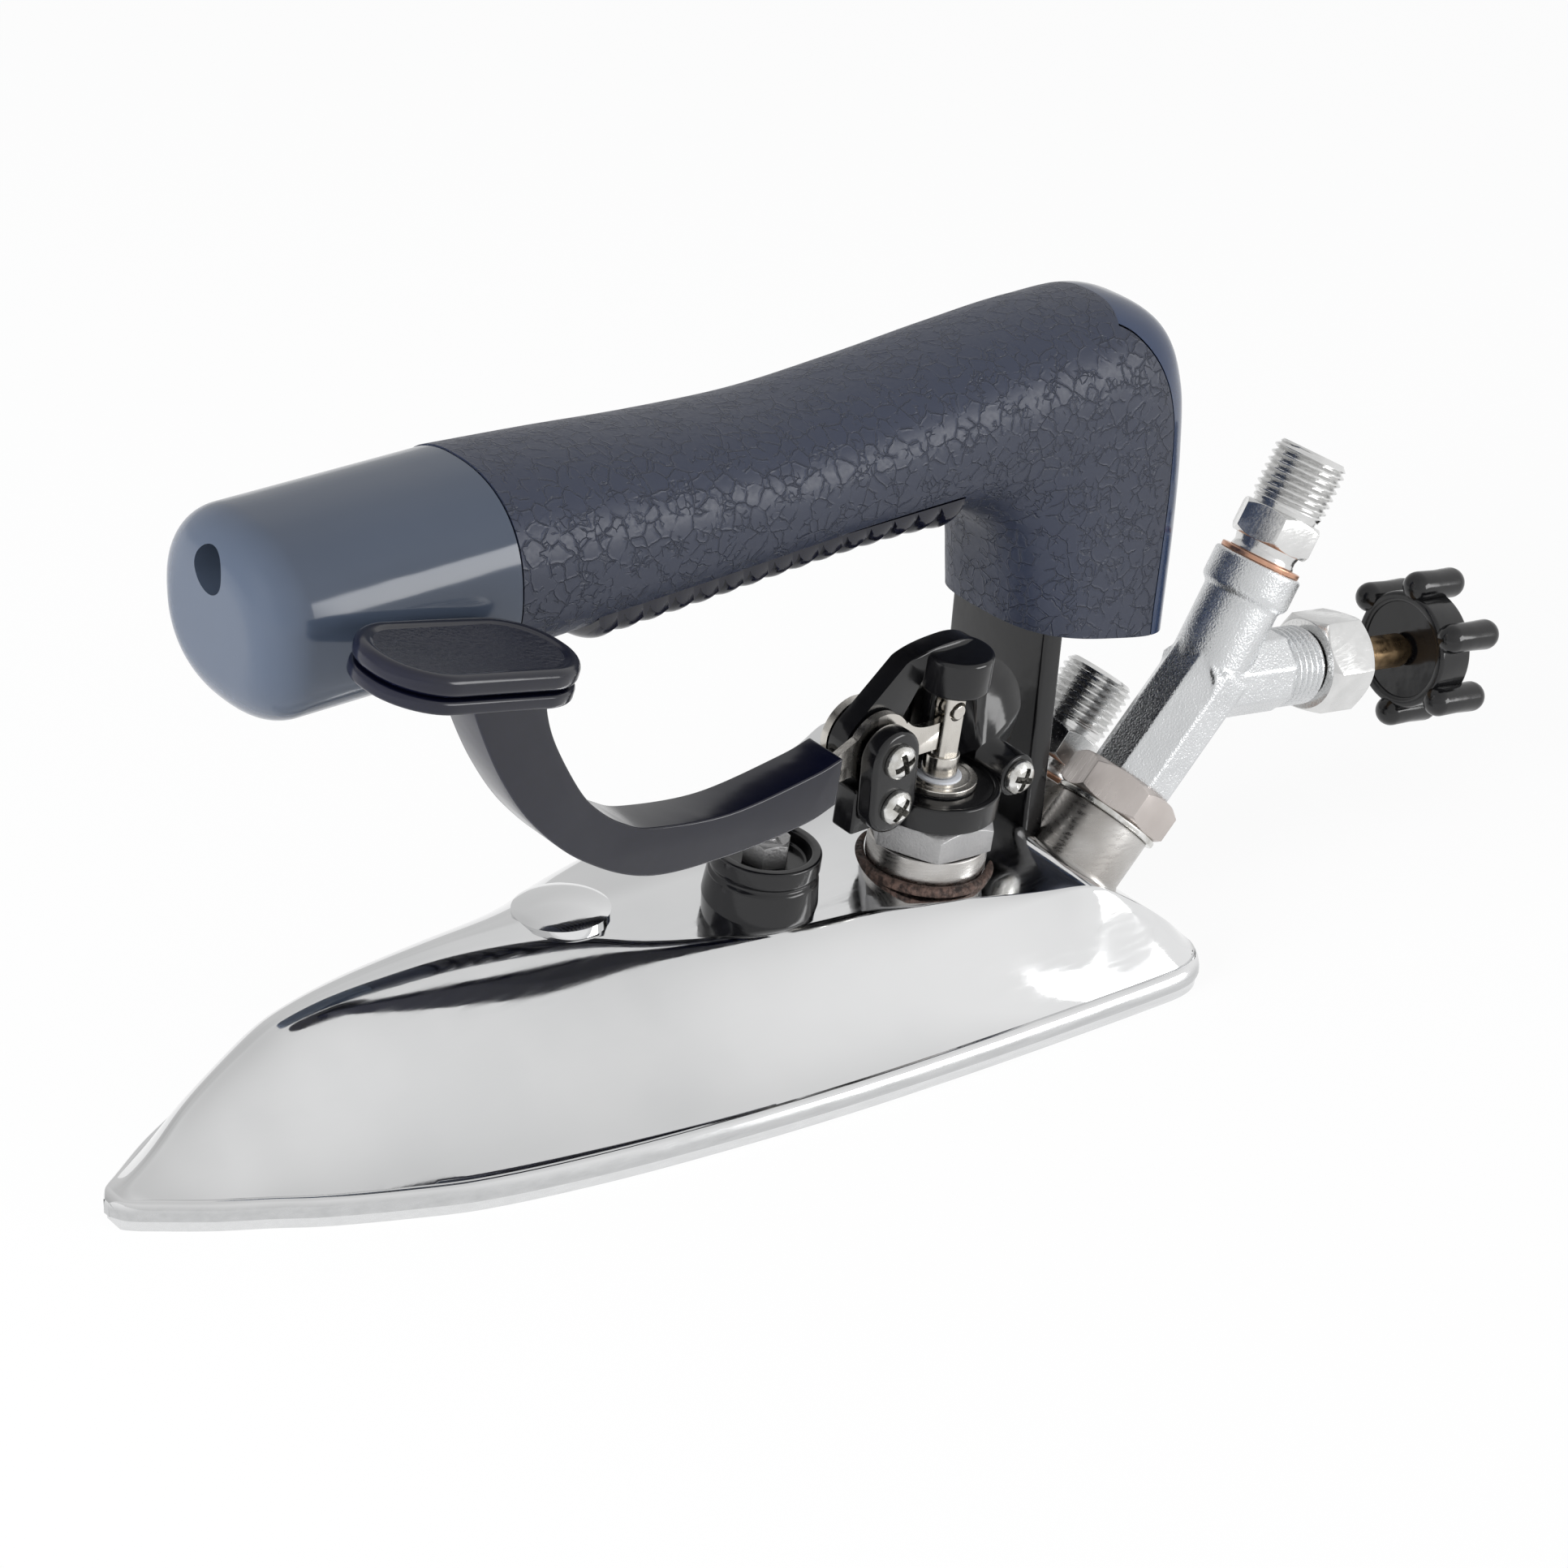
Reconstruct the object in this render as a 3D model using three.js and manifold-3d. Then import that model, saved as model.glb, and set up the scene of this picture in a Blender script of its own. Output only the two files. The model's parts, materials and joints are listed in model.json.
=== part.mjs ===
// Industrial steam iron: pressed steel body, sprung steam valve worked by a thumb lever,
// carrying handle on a bracket, and threaded steam fittings at the heel.
// Millimetres. X runs from toe to heel, Y to the far side, Z up from the sole face.

import * as THREE from 'three';
import { mergeVertices } from 'three/addons/utils/BufferGeometryUtils.js';
import Module from 'manifold-3d';

const wasm = await Module();
wasm.setup();

// Shared clearances and mesh fineness
const weldGap = 0.3;
const runningGap = 0.1;
const looseGap = 0.35;
const cutOverrun = 4;
const mergeDistance = 0.0005;
const roundSteps = 18;
const fineRoundSteps = 32;
const smallRoundSteps = 9;
const outlineSteps = 4;
const bodyStations = 24;
const hollowStations = 8;

// Sole and body
const soleLength = 188;
const soleHalfWidth = 44;
const soleThickness = 2;
const soleStepIn = 0.8;
const beadHeight = 5.2;
const beadRound = 1.3;
const footInset = 4.4;
const deckHeight = 27.2;
const shellWall = 1.6;
const domeX = -10.4;
const domeRadius = 8;
const domeRise = 2.3;
const domeEdge = 0.5;
const steamHoleRadius = 1.6;
const steamHoleSides = 6;
const steamHoleInset = 13;
const steamHoleGap = 1.6;
const steamHoleToeDistance = 26;
const steamHoleHeelDistance = 50;
const steamHolePairs = 7;
const heelHoleDistance = 36;
const heelHolePitch = 12;
const solidToe = 13.2;
const openingDepth = 10;

// Valve station, placed from the heel and sunk a little in the deck
const valveHeelDistance = 42.2;
const valveY = -15;
const valveSink = 0.39;
const valveTiltAcross = 4.88;
const valveTiltAlong = 4.03;
const valveTurn = 5;
const bossRadius = 10;
const bossWall = 2.4;
const bossTop = 4.6;
const bossDepth = 6;
const weldRingWidth = 2;
const weldRingRise = 1.5;
const weldRingDepth = 2.4;
const hexAcross = 19;
const hexHeight = 5.2;
const hexChamfer = 0.9;
const hexTurn = 15;
const spigotRadius = 6.3;
const clampRadius = 10.5;
const clampHeight = 4.5;
const clampRound = 0.7;
const glandRadius = 6.4;
const glandHeight = 1;
const packingRadius = 3.9;
const packingHeight = 0.7;

// Spindle and cross pin
const spindleRadius = 2.4;
const spindleFlat = 1.9;
const spindleDepth = 3;
const spindleTop = 33;
const collarRadius = 2.9;
const collarTop = 20;
const slotHalfWidth = 1;
const slotBottom = 20.7;
const slotTop = 30.4;
const crossPinRadius = 1.35;
const crossPinReach = 2.9;
const crossPinHeight = 28.2;

// Pivot ear and its screws
const pivotX = -15.6;
const pivotZ = 25;
const earScrewX = -14.8;
const earScrewZ = 16.4;
const earRadius = 5;
const earFront = -5;
const earBack = -1.1;
const earRound = 0.6;
const panRadius = 3;
const panHeight = 1.9;
const panEdge = 0.8;
const crossSlotWidth = 0.8;
const crossSlotReach = 2.1;
const crossSlotDepth = 1;
const shankRadius = 1.5;
const lugLeft = -19.6;
const lugTop = 18.2;
const lugFar = 3.8;

// Yoke over the spindle
const yokeFront = 1.4;
const yokeBack = 5;
const yokeHeadRadius = 5.9;
const yokeHeadBottom = 32.2;
const yokeHeadTop = 38.8;
const yokeHeadRound = 0.8;
const yokeKnuckleRadius = 6.1;
const knuckleUnderAngle = 240;
const knuckleTopAngle = 140;
const knuckleHeelAngle = 20;
const yokeWidth = 19.2;
const yokeCutRadius = 3.3;
const yokeFootGap = 1.05;
const springWellTop = 36.8;
const sideLugX = 13.4;
const sideLugZ = 14.2;
const sideLugRadius = 3.75;
const sideLugFront = -5.2;

// Lever plate, thumb lever and pad
const plateHalf = 0.7;
const plateDiscRadius = 6.2;
const discTopStart = 31;
const discTopEnd = 150;
const discUnderStart = 215;
const discUnderEnd = 325;
const plateTongueEnd = 1.6;
const plateTongueTop = 26.6;
const plateTongueBottom = 21.3;
const plateTailEnd = -38;
const plateTailHalf = 2.4;
const farPlateNear = 5.35;
const farPlateFar = 6.75;
const farPlateEndX = -0.8;
const farPlateEndZ = 25.4;
const farPlateEndRadius = 3.6;
const plateWebStart = -22.6;
const plateWebEnd = -24.6;
const rivetRadius = 1.5;
const rivetHeadRadius = 2.2;
const rivetHead = 0.9;
const leverHalfWidth = 4;
const leverBevel = 0.9;
const leverStart = -27.2;
const leverReach = 105;
const leverRise = 58;
const leverDrop = 7;
const padReachShare = 0.739;
const padRiseShare = 0.7276;
const padTilt = 11.7;
const padLength = 41;
const padHalfWidth = 10;
const padBaseThickness = 2.2;
const padThickness = 3.4;
const padBevel = 1.2;
const padCornerRadius = 8;

// Front post, placed from the valve and sunk a little in the deck
const postValveDistance = 30.6;
const postY = -10.4;
const postSink = 0.73;
const postRadius = 9.1;
const postFlange = 5.4;
const postGroove = 0.5;
const postHeight = 9.4;
const postRecessRadius = 7.4;
const postRecessDepth = 2.4;
const postNutAcross = 7;
const postNutHeight = 4.2;

// Handle: its column stands over the bracket and clears the elbow behind it
const columnWall = 2.3;
const columnClearance = 22.8;
const elbowClearance = 2.85;
const gripReach = 102.6;
const handleHeight = 60.3;
const capLength = 43;
const capHalfWidth = 17.5;
const capProud = 0.7;
const capHeight = 31;
const capRound = 7.5;
const capHoleRadius = 2.6;
const capHoleDrop = 6.8;
const capHoleDepth = 15;
const gripHalfWidth = 16;
const gripRing = 20;
const gripStations = 15;
const capStations = 4;
const gripSquareness = 2.35;
const columnSquareness = 3.1;
const seamGap = 0.3;
const coverDepth = 4.6;
const insertStart = 16;
const insertEnd = 15.6;
const insertHalfWidth = 11.5;
const insertRise = 37;
const insertDrop = 1.7;
const insertRibs = 15;
const ribGrooveRadius = 1.5;
const ribGrooveSides = 6;

// Handle bracket
const bracketHeelDistance = 18.1;
const bracketSink = 8.2;
const bracketLean = 3.7;
const bracketHalfWidth = 12;
const bracketThickness = 4.1;
const bracketCrown = 1.1;
const bracketLength = 52;
const bracketDepth = 4;

// Steam fittings on the heel slope
const inletHeelDistance = 9.7;
const inletY = -15;
const inletSink = 0.69;
const inletLean = 44.7;
const fittingBossRadius = 8.6;
const inletBossHeight = 9.8;
const fittingBossDepth = 3;
const fittingBoreRadius = 3.6;
const sealRadius = 9.6;
const sealHeight = 1;
const unionAcross = 18;
const unionHeight = 6.6;
const unionChamfer = 1;
const unionTurn = 12;
const legHalfAcross = 7.1;
const legLength = 21.2;
const roundLegShare = 0.96;
const collarNeckShare = 0.9;
const upperLean = 31.6;
const upperLegLength = 16.3;
const collarHalfAcross = 7.9;
const collarLength = 5.6;
const branchLean = 99.5;
const branchLegLength = 16;
const branchThreadRadius = 6.9;
const branchThreadLength = 7.6;
const glandNutAcross = 16;
const glandNutLength = 10;
const glandNutTurn = 20;
const brassRadius = 3;
const threadRadius = 6.58;
const threadDepth = 0.86;
const threadLength = 11.4;
const nippleNeckRadius = 5.9;
const nippleNeck = 2.4;
const nippleHexAcross = 13.4;
const nippleHexLength = 6;
const copperRadius = 7.2;
const copperHeight = 0.9;
const outletHeelDistance = 7.6;
const outletY = 5;
const outletSink = 0.79;
const outletLean = 41;
const outletBossHeight = 10.6;

// Handwheel
const wheelStart = 46.9;
const lobeCount = 6;
const lobeCircle = 11.8;
const lobeRadius = 2.7;
const lobeLength = 13.4;
const lobeSides = 7;
const lobeCapSteps = 2;
const wheelRingRadius = 10.4;
const wheelRingWall = 1.9;
const wheelRingLength = 7.4;
const wheelHubRadius = 4.2;
const wheelHubLength = 6;
const wheelWebThickness = 2.2;
const wheelScrewRadius = 2.2;
const wheelScrewHeadRadius = 2.86;
const wheelScrewHead = 1.4;
const wheelScrewShank = 1.1;

// Colours, roughness and metalness
const steel = [0xd9dadb, 0.16, 1];
const soleFinish = [0xcfd1d3, 0.2, 1];
const brazed = [0x6b4a3c, 0.6, 0.6];
const castGrey = [0x8f9093, 0.45, 0.8];
const nickel = [0xb4aea4, 0.28, 1];
const black = [0x0d0d0f, 0.22, 0.1];
const packing = [0xeef0f4, 0.5, 0];
const navy = [0x1b1d2c, 0.2, 0];
const leather = [0x2b3140, 0.5, 0];
const capBlue = [0x56647a, 0.15, 0];
const coverBlue = [0x2a3850, 0.15, 0];
const zinc = [0xc9cbce, 0.3, 1];
const copper = [0xc97a4f, 0.35, 1];
const brass = [0x8a6a45, 0.35, 1];

const degrees = THREE.MathUtils.degToRad;
const lerp = THREE.MathUtils.lerp;

// Closed solids from three.js geometry, and back
function toSolid(geometry) {
  const bare = geometry.clone();
  for (const name of Object.keys(bare.attributes)) {
    if (name !== 'position') bare.deleteAttribute(name);
  }
  const merged = mergeVertices(bare, mergeDistance);
  const corners = merged.index.array;
  const place = merged.attributes.position;
  const a = new THREE.Vector3();
  const b = new THREE.Vector3();
  const c = new THREE.Vector3();
  const kept = [];
  let volume = 0;
  for (let i = 0; i < corners.length; i += 3) {
    const [p, q, r] = [corners[i], corners[i + 1], corners[i + 2]];
    if (p === q || q === r || r === p) continue;
    kept.push(p, q, r);
    a.fromBufferAttribute(place, p);
    b.fromBufferAttribute(place, q);
    c.fromBufferAttribute(place, r);
    volume += a.dot(b.cross(c));
  }
  if (volume < 0) kept.reverse();
  return new wasm.Manifold(new wasm.Mesh({
    numProp: 3,
    vertProperties: Float32Array.from(place.array),
    triVerts: Uint32Array.from(kept),
  }));
}

function toGeometry(solid) {
  const mesh = solid.getMesh();
  const geometry = new THREE.BufferGeometry();
  geometry.setAttribute('position', new THREE.BufferAttribute(mesh.vertProperties, 3));
  geometry.setIndex(new THREE.BufferAttribute(mesh.triVerts, 1));
  geometry.computeVertexNormals();
  return geometry;
}

function joined(...solids) {
  return solids.reduce((whole, next) => whole.add(next));
}

// A turned piece about the local Z axis, from radius and height points that close on themselves
function turned(points, steps = roundSteps) {
  const profile = points.map(([radius, height]) => new THREE.Vector2(radius, height));
  if (points[0][0] > 0 || points.at(-1)[0] > 0) profile.push(profile[0].clone());
  const geometry = new THREE.LatheGeometry(profile, steps);
  geometry.rotateX(degrees(90));
  return toSolid(geometry);
}

// A round bar from one height to another along local Z
function rod(radius, from, to, steps = roundSteps) {
  const geometry = new THREE.CylinderGeometry(radius, radius, to - from, steps);
  geometry.rotateX(degrees(90));
  geometry.translate(0, 0, (from + to) / 2);
  return toSolid(geometry);
}

// A round bar along local Y
function rodAcross(radius, x, z, near, far, steps = smallRoundSteps) {
  const geometry = new THREE.CylinderGeometry(radius, radius, far - near, steps);
  geometry.translate(x, (near + far) / 2, z);
  return toSolid(geometry);
}

function block(x0, x1, y0, y1, z0, z1) {
  const geometry = new THREE.BoxGeometry(x1 - x0, y1 - y0, z1 - z0);
  geometry.translate((x0 + x1) / 2, (y0 + y1) / 2, (z0 + z1) / 2);
  return toSolid(geometry);
}

// A flat outline in local X and Z, given thickness along Y from near to far
function slab(shape, near, far, bevel = 0, curveSegments = outlineSteps) {
  const geometry = new THREE.ExtrudeGeometry(shape, {
    depth: far - near - 2 * bevel,
    bevelEnabled: bevel > 0,
    bevelThickness: bevel,
    bevelSize: bevel,
    bevelOffset: -bevel,
    bevelSegments: 1,
    curveSegments,
  });
  geometry.rotateX(degrees(90));
  geometry.translate(0, far - bevel, 0);
  return toSolid(geometry);
}

// A hexagon across its flats, chamfered at the named ends, along local Z
function hexagon(across, from, to, chamfer, ends = 'both', turn = 0) {
  const corner = across / 2 / Math.cos(degrees(30));
  const geometry = new THREE.CylinderGeometry(corner, corner, to - from, 6);
  geometry.rotateX(degrees(90));
  geometry.rotateZ(degrees(turn));
  geometry.translate(0, 0, (from + to) / 2);
  const low = ends === 'top' ? corner + chamfer : across / 2;
  const high = ends === 'bottom' ? corner + chamfer : across / 2;
  const rise = chamfer / 2;
  const envelope = turned([
    [0, from],
    [low, from],
    [low + chamfer * 2, from + rise * 2],
    [high + chamfer * 2, to - rise * 2],
    [high, to],
    [0, to],
  ]);
  return toSolid(geometry).intersect(envelope);
}

// A pan head with a cross recess, head facing the near side, shank behind it
function panScrew(x, z, seat, shankEnd) {
  const head = turned([
    [0, 0],
    [panRadius, 0],
    [panRadius, panHeight - panEdge],
    [panRadius - panEdge / 2, panHeight - panEdge / 4],
    [panRadius - panEdge * 2, panHeight],
    [0, panHeight],
  ], smallRoundSteps);
  const recessDeep = panHeight - crossSlotDepth;
  const bar = block(-crossSlotReach, crossSlotReach, -crossSlotWidth / 2, crossSlotWidth / 2,
    recessDeep, panHeight + cutOverrun);
  const crossBar = block(-crossSlotWidth / 2, crossSlotWidth / 2, -crossSlotReach, crossSlotReach,
    recessDeep, panHeight + cutOverrun);
  const shank = rod(shankRadius, -(shankEnd - seat), panEdge, smallRoundSteps);
  return head.subtract(bar).subtract(crossBar).add(shank)
    .rotate([90, 0, 0])
    .translate([x, seat, z]);
}

// A skin stretched over a row of equal rings of points, closed at both ends
function loft(rings) {
  const around = rings[0].length;
  const rows = rings.length - 1;
  const skin = new THREE.CylinderGeometry(1, 1, 1, around, rows);
  const place = skin.attributes.position;
  const middles = rings.map((ring) => ring
    .reduce((sum, point) => sum.add(point), new THREE.Vector3())
    .divideScalar(around));
  for (let i = 0; i < place.count; i += 1) {
    const row = Math.round((0.5 - place.getY(i)) * rows);
    const onAxis = Math.hypot(place.getX(i), place.getZ(i)) < 0.5;
    const share = Math.atan2(place.getX(i), place.getZ(i)) / (2 * Math.PI);
    const step = (Math.round(share * around) + around) % around;
    const point = onAxis ? middles[row] : rings[row][step];
    place.setXYZ(i, point.x, point.y, point.z);
  }
  return toSolid(skin);
}

// Smooth value of a table of shares at a share along it
function follow(table, share) {
  const keys = table.map((row) => row[0]);
  const values = table.map((row) => row[1]);
  return new THREE.CubicInterpolant(keys, values, 1).evaluate(share)[0];
}

// Body outline: share of the length from the middle, then share of the half width
const outlineShares = [
  [-0.5, 0.012], [-0.492, 0.075], [-0.4676, 0.158], [-0.4324, 0.263], [-0.392, 0.363],
  [-0.36, 0.448], [-0.3, 0.574], [-0.239, 0.682], [-0.1356, 0.789], [-0.025, 0.866],
  [0.093, 0.925], [0.2186, 0.964], [0.3335, 0.986], [0.435, 0.998], [0.458, 0.992],
  [0.474, 0.966], [0.487, 0.915], [0.495, 0.845], [0.5, 0.76],
];

// Height of the middle line above the bead, as a share of the deck height above it
const ridgeShares = [
  [-0.5, -0.03], [-0.49, 0], [-0.4735, 0.09], [-0.454, 0.22], [-0.43, 0.44], [-0.4, 0.64],
  [-0.368, 0.815], [-0.345, 0.925], [-0.32, 0.985], [-0.29, 1.03], [-0.247, 1.06],
  [-0.174, 1.075], [-0.1, 1.05], [0, 1.01], [0.1, 0.995], [0.25, 0.985], [0.35, 0.975],
  [0.368, 0.95], [0.385, 0.875], [0.4255, 0.56], [0.468, 0.235], [0.487, 0.08], [0.5, 0],
];

// Half width of the crowned deck between its crests, as a share of the half width
const crestShares = [
  [-0.5, 0.002], [-0.32, 0.008], [-0.247, 0.015], [-0.174, 0.03], [-0.106, 0.07],
  [-0.06, 0.14], [-0.02, 0.25], [0.04, 0.355], [0.106, 0.435], [0.19, 0.5],
  [0.266, 0.6], [0.33, 0.72], [0.385, 0.82], [0.4255, 0.84], [0.468, 0.82],
  [0.487, 0.76], [0.5, 0.66],
];

// Fall of the crowned deck from the middle line to its crests, as a share of their half width
const crownShares = [
  [-0.5, 0.16], [0.1, 0.16], [0.28, 0.155], [0.34, 0.13], [0.385, 0.07], [0.4255, 0.02],
  [0.468, 0.005], [0.5, 0],
];
const crownPower = 1.4;
const toeInsetShare = 0.5;
const slopeStepShares = [0.16, 0.36, 0.6, 0.84];
const footCurveShare = 0.34;
const crestCurveShare = 0.24;
const deckStepShares = [0.3, 0.65];
const domeStepShares = [0.86, 0.68, 0.48, 0.25];

const halfWidthAt = (x) => soleHalfWidth * follow(outlineShares, x / soleLength);
const ridgeAt = (x) => beadHeight
  + (deckHeight - beadHeight) * follow(ridgeShares, x / soleLength);
const crestAt = (x) => soleHalfWidth * follow(crestShares, x / soleLength);

// One cross-section of the body at x, grown outward; a hollow one has straight sides below
function bodyRing(x, grow, hollow, squeeze = 0) {
  const half = Math.max(halfWidthAt(x) + grow, beadRound / 2);
  const inset = Math.min(footInset, half * toeInsetShare);
  const foot = new THREE.Vector2(half - inset, beadHeight + grow);
  const ridge = Math.max(ridgeAt(x) + grow, beadHeight + grow);
  const crestY = Math.min(crestAt(x), foot.x - beadRound / 4);
  const crown = follow(crownShares, x / soleLength);
  const crestZ = Math.max(ridge - Math.max(crestY, 0) * crown, foot.y);
  const crest = new THREE.Vector2(Math.max(crestY, beadRound / 8), crestZ);
  const reach = foot.x - crest.x;
  const side = new THREE.CubicBezierCurve(
    foot,
    new THREE.Vector2(foot.x - reach * footCurveShare, foot.y),
    new THREE.Vector2(crest.x + reach * crestCurveShare, crest.y),
    crest,
  );
  const round = Math.min(beadRound, half / 2);
  const floor = hollow ? soleThickness - cutOverrun : soleThickness - grow;
  const edge = hollow
    ? [[foot.x, floor]]
    : [
      [half, floor + squeeze],
      [half, foot.y - round],
      [half - round * (1 - Math.SQRT1_2), foot.y - round * (1 - Math.SQRT1_2) - squeeze],
      [half - round, foot.y - squeeze],
    ];
  const section = [
    ...edge,
    [foot.x, foot.y - squeeze],
    ...slopeStepShares.map((share) => {
      const point = side.getPoint(share);
      return [point.x, point.y - squeeze];
    }),
    [crest.x, crest.y - squeeze],
    ...deckStepShares.map((share) => [
      crest.x * (1 - share),
      lerp(crest.y, ridge, 1 - (1 - share) ** crownPower) - squeeze,
    ]),
  ];
  const near = section.map(([y, z]) => new THREE.Vector3(x, -y, z));
  const far = section.map(([y, z]) => new THREE.Vector3(x, y, z)).reverse();
  return [...near, new THREE.Vector3(x, 0, ridge - squeeze), ...far];
}

// Height of the body's outside over a place in plan
function deckAt(x, y) {
  const ring = bodyRing(x, 0, false);
  const next = ring.findIndex((point) => point.y >= y);
  const low = ring[next - 1];
  const high = ring[next];
  return lerp(low.z, high.z, (y - low.y) / (high.y - low.y));
}

// Places along the length, close together at the toe and the heel
function stations(count, from, to) {
  return Array.from({ length: count + 1 }, (_, i) => {
    const share = (1 - Math.cos(Math.PI * i / count)) / 2;
    return lerp(from, to, share);
  });
}

function bodyForm(grow) {
  const places = stations(bodyStations, -soleLength / 2 - grow, soleLength / 2 + grow);
  return loft(places.map((x, i) => bodyRing(x, grow, false,
    i === bodyStations || i === 0 ? beadRound / 2 : 0)));
}

function bodyHollow() {
  const places = stations(hollowStations, solidToe - soleLength / 2,
    soleLength / 2 - footInset - shellWall);
  return loft(places.map((x) => bodyRing(x, -shellWall, true)));
}

// Places of what stands on the body: along it from the heel, and up from the deck below
const heelX = soleLength / 2;
const valveX = heelX - valveHeelDistance;
const valveZ = deckAt(valveX, valveY) - valveSink;
const postX = valveX - postValveDistance;
const postZ = deckAt(postX, postY) - postSink;
const bracketX = heelX - bracketHeelDistance;
const bracketZ = deckHeight - bracketSink;
const inletX = heelX - inletHeelDistance;
const inletZ = deckAt(inletX, inletY) - inletSink;
const outletX = heelX - outletHeelDistance;
const outletZ = deckAt(outletX, outletY) - outletSink;
const elbowHeight = inletBossHeight + sealHeight + unionHeight + legLength;
const elbowX = inletX + Math.sin(degrees(inletLean)) * elbowHeight;
const columnFront = bracketX - columnWall;
const handleRear = elbowX - elbowClearance;
const handleBottom = deckHeight + columnClearance;
const handleTop = handleBottom + handleHeight;
const capSeamX = columnFront - gripReach;
const capFront = capSeamX - capLength;
const capTop = handleTop + capProud;

// Groups that carry the tilted assemblies
const iron = new THREE.Group();
const valve = new THREE.Group();
valve.position.set(valveX, valveY, valveZ);
valve.rotation.set(degrees(valveTiltAcross), degrees(valveTiltAlong), degrees(valveTurn), 'YXZ');
const post = new THREE.Group();
post.position.set(postX, postY, postZ);
post.rotation.copy(valve.rotation);
const bracketGroup = new THREE.Group();
bracketGroup.position.set(bracketX, 0, bracketZ);
bracketGroup.rotation.y = degrees(bracketLean);
const inlet = new THREE.Group();
inlet.position.set(inletX, inletY, inletZ);
inlet.rotation.y = degrees(inletLean);
const outlet = new THREE.Group();
outlet.position.set(outletX, outletY, outletZ);
outlet.rotation.y = degrees(outletLean);
const upper = new THREE.Group();
upper.position.z = elbowHeight;
upper.rotation.y = degrees(upperLean - inletLean);
const branch = new THREE.Group();
branch.position.z = elbowHeight;
branch.rotation.y = degrees(branchLean - inletLean);
inlet.add(upper, branch);
iron.add(valve, post, bracketGroup, inlet, outlet);
iron.updateMatrixWorld(true);

// Carry a solid from a group's frame into the iron's frame, or the other way
const outOf = (group, solid) => solid.transform(group.matrixWorld.elements);
const into = (group, solid) => solid.transform(group.matrixWorld.clone().invert().elements);

function addPiece(group, name, solid, finish) {
  const [color, roughness, metalness] = finish;
  const material = new THREE.MeshStandardMaterial({ color, roughness, metalness });
  const mesh = new THREE.Mesh(toGeometry(solid), material);
  mesh.name = name;
  group.add(mesh);
}

// Sole plate: flat sheet a step inside the bead, with two rows of steam holes and a heel row
function solePlate() {
  const places = stations(bodyStations, -soleLength / 2 + soleStepIn, soleLength / 2 - soleStepIn);
  const edge = places.map((x) => new THREE.Vector2(x, Math.max(halfWidthAt(x) - soleStepIn,
    soleStepIn / 2)));
  const outline = new THREE.Shape([
    ...edge,
    ...edge.map((point) => new THREE.Vector2(point.x, -point.y)).reverse(),
  ]);
  const plate = toSolid(new THREE.ExtrudeGeometry(outline, {
    depth: soleThickness,
    bevelEnabled: false,
  }));
  const holes = [];
  for (let i = 0; i < steamHolePairs; i += 1) {
    const x = lerp(steamHoleToeDistance - heelX, heelX - steamHoleHeelDistance,
      i / (steamHolePairs - 1));
    const y = Math.max(halfWidthAt(x) - steamHoleInset, steamHoleRadius + steamHoleGap);
    holes.push([x, y], [x, -y]);
  }
  for (const row of [-1, 0, 1]) holes.push([heelX - heelHoleDistance, row * heelHolePitch]);
  return holes.reduce((rest, [x, y]) => rest.subtract(
    rod(steamHoleRadius, -cutOverrun, soleThickness + cutOverrun, steamHoleSides).translate([x, y, 0]),
  ), plate);
}

// Pressed body: hollow shell, round dome, and the holes for the valve and the two fittings
const seatForm = bodyForm(weldGap);

function ironShell() {
  const dome = turned([
    [0, -shellWall],
    [domeRadius, -shellWall],
    [domeRadius, domeEdge],
    ...domeStepShares.map((share) => [
      domeRadius * share,
      domeEdge + (domeRise - domeEdge) * (1 - share ** 2),
    ]),
    [0, domeRise],
  ]).translate([domeX, 0, ridgeAt(domeX)]);
  const opening = (group, radius) => outOf(group,
    rod(radius + weldGap, -openingDepth, deckHeight));
  return bodyForm(0)
    .subtract(bodyHollow())
    .add(dome)
    .subtract(opening(valve, bossRadius))
    .subtract(opening(inlet, fittingBossRadius))
    .subtract(opening(outlet, fittingBossRadius));
}

addPiece(iron, 'sole_plate', solePlate(), soleFinish);
addPiece(iron, 'iron_shell', ironShell(), steel);

// Front post: tapered flange, groove and drum with a recessed top, cut to the deck
function frontPost() {
  const neck = postRadius - postGroove;
  const outside = turned([
    [0, -deckHeight / 4],
    [postRadius + postGroove, -deckHeight / 4],
    [postRadius + postGroove, 0],
    [postRadius, postFlange - postGroove],
    [neck, postFlange],
    [neck, postFlange + postGroove],
    [postRadius, postFlange + postGroove * 2],
    [postRadius, postHeight - postGroove],
    [postRadius - postGroove, postHeight],
    [postRecessRadius, postHeight],
    [postRecessRadius - postGroove, postHeight - postRecessDepth],
    [0, postHeight - postRecessDepth],
  ]);
  return outside.subtract(into(post, seatForm));
}

addPiece(post, 'front_post', frontPost(), black);
addPiece(post, 'front_post_nut', hexagon(postNutAcross, postHeight - postRecessDepth,
  postHeight - postRecessDepth + postNutHeight, postGroove, 'top')
  .subtract(rod(shankRadius, postHeight, deckHeight)), castGrey);

// Valve boss in its hole in the deck, and the braze ring that seals it
const hexBottom = bossTop + looseGap / 2;
const hexTop = hexBottom + hexHeight;
const clampBottom = hexTop + looseGap / 2;
const clampTop = clampBottom + clampHeight;
const glandBottom = clampTop + looseGap / 2;
const glandTop = glandBottom + glandHeight;
const bossBore = bossRadius - bossWall;

addPiece(valve, 'valve_boss', turned([
  [bossBore, -bossDepth],
  [bossRadius, -bossDepth],
  [bossRadius, bossTop - bossWall / 6],
  [bossRadius - bossWall / 6, bossTop],
  [bossBore, bossTop],
]), soleFinish);

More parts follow.
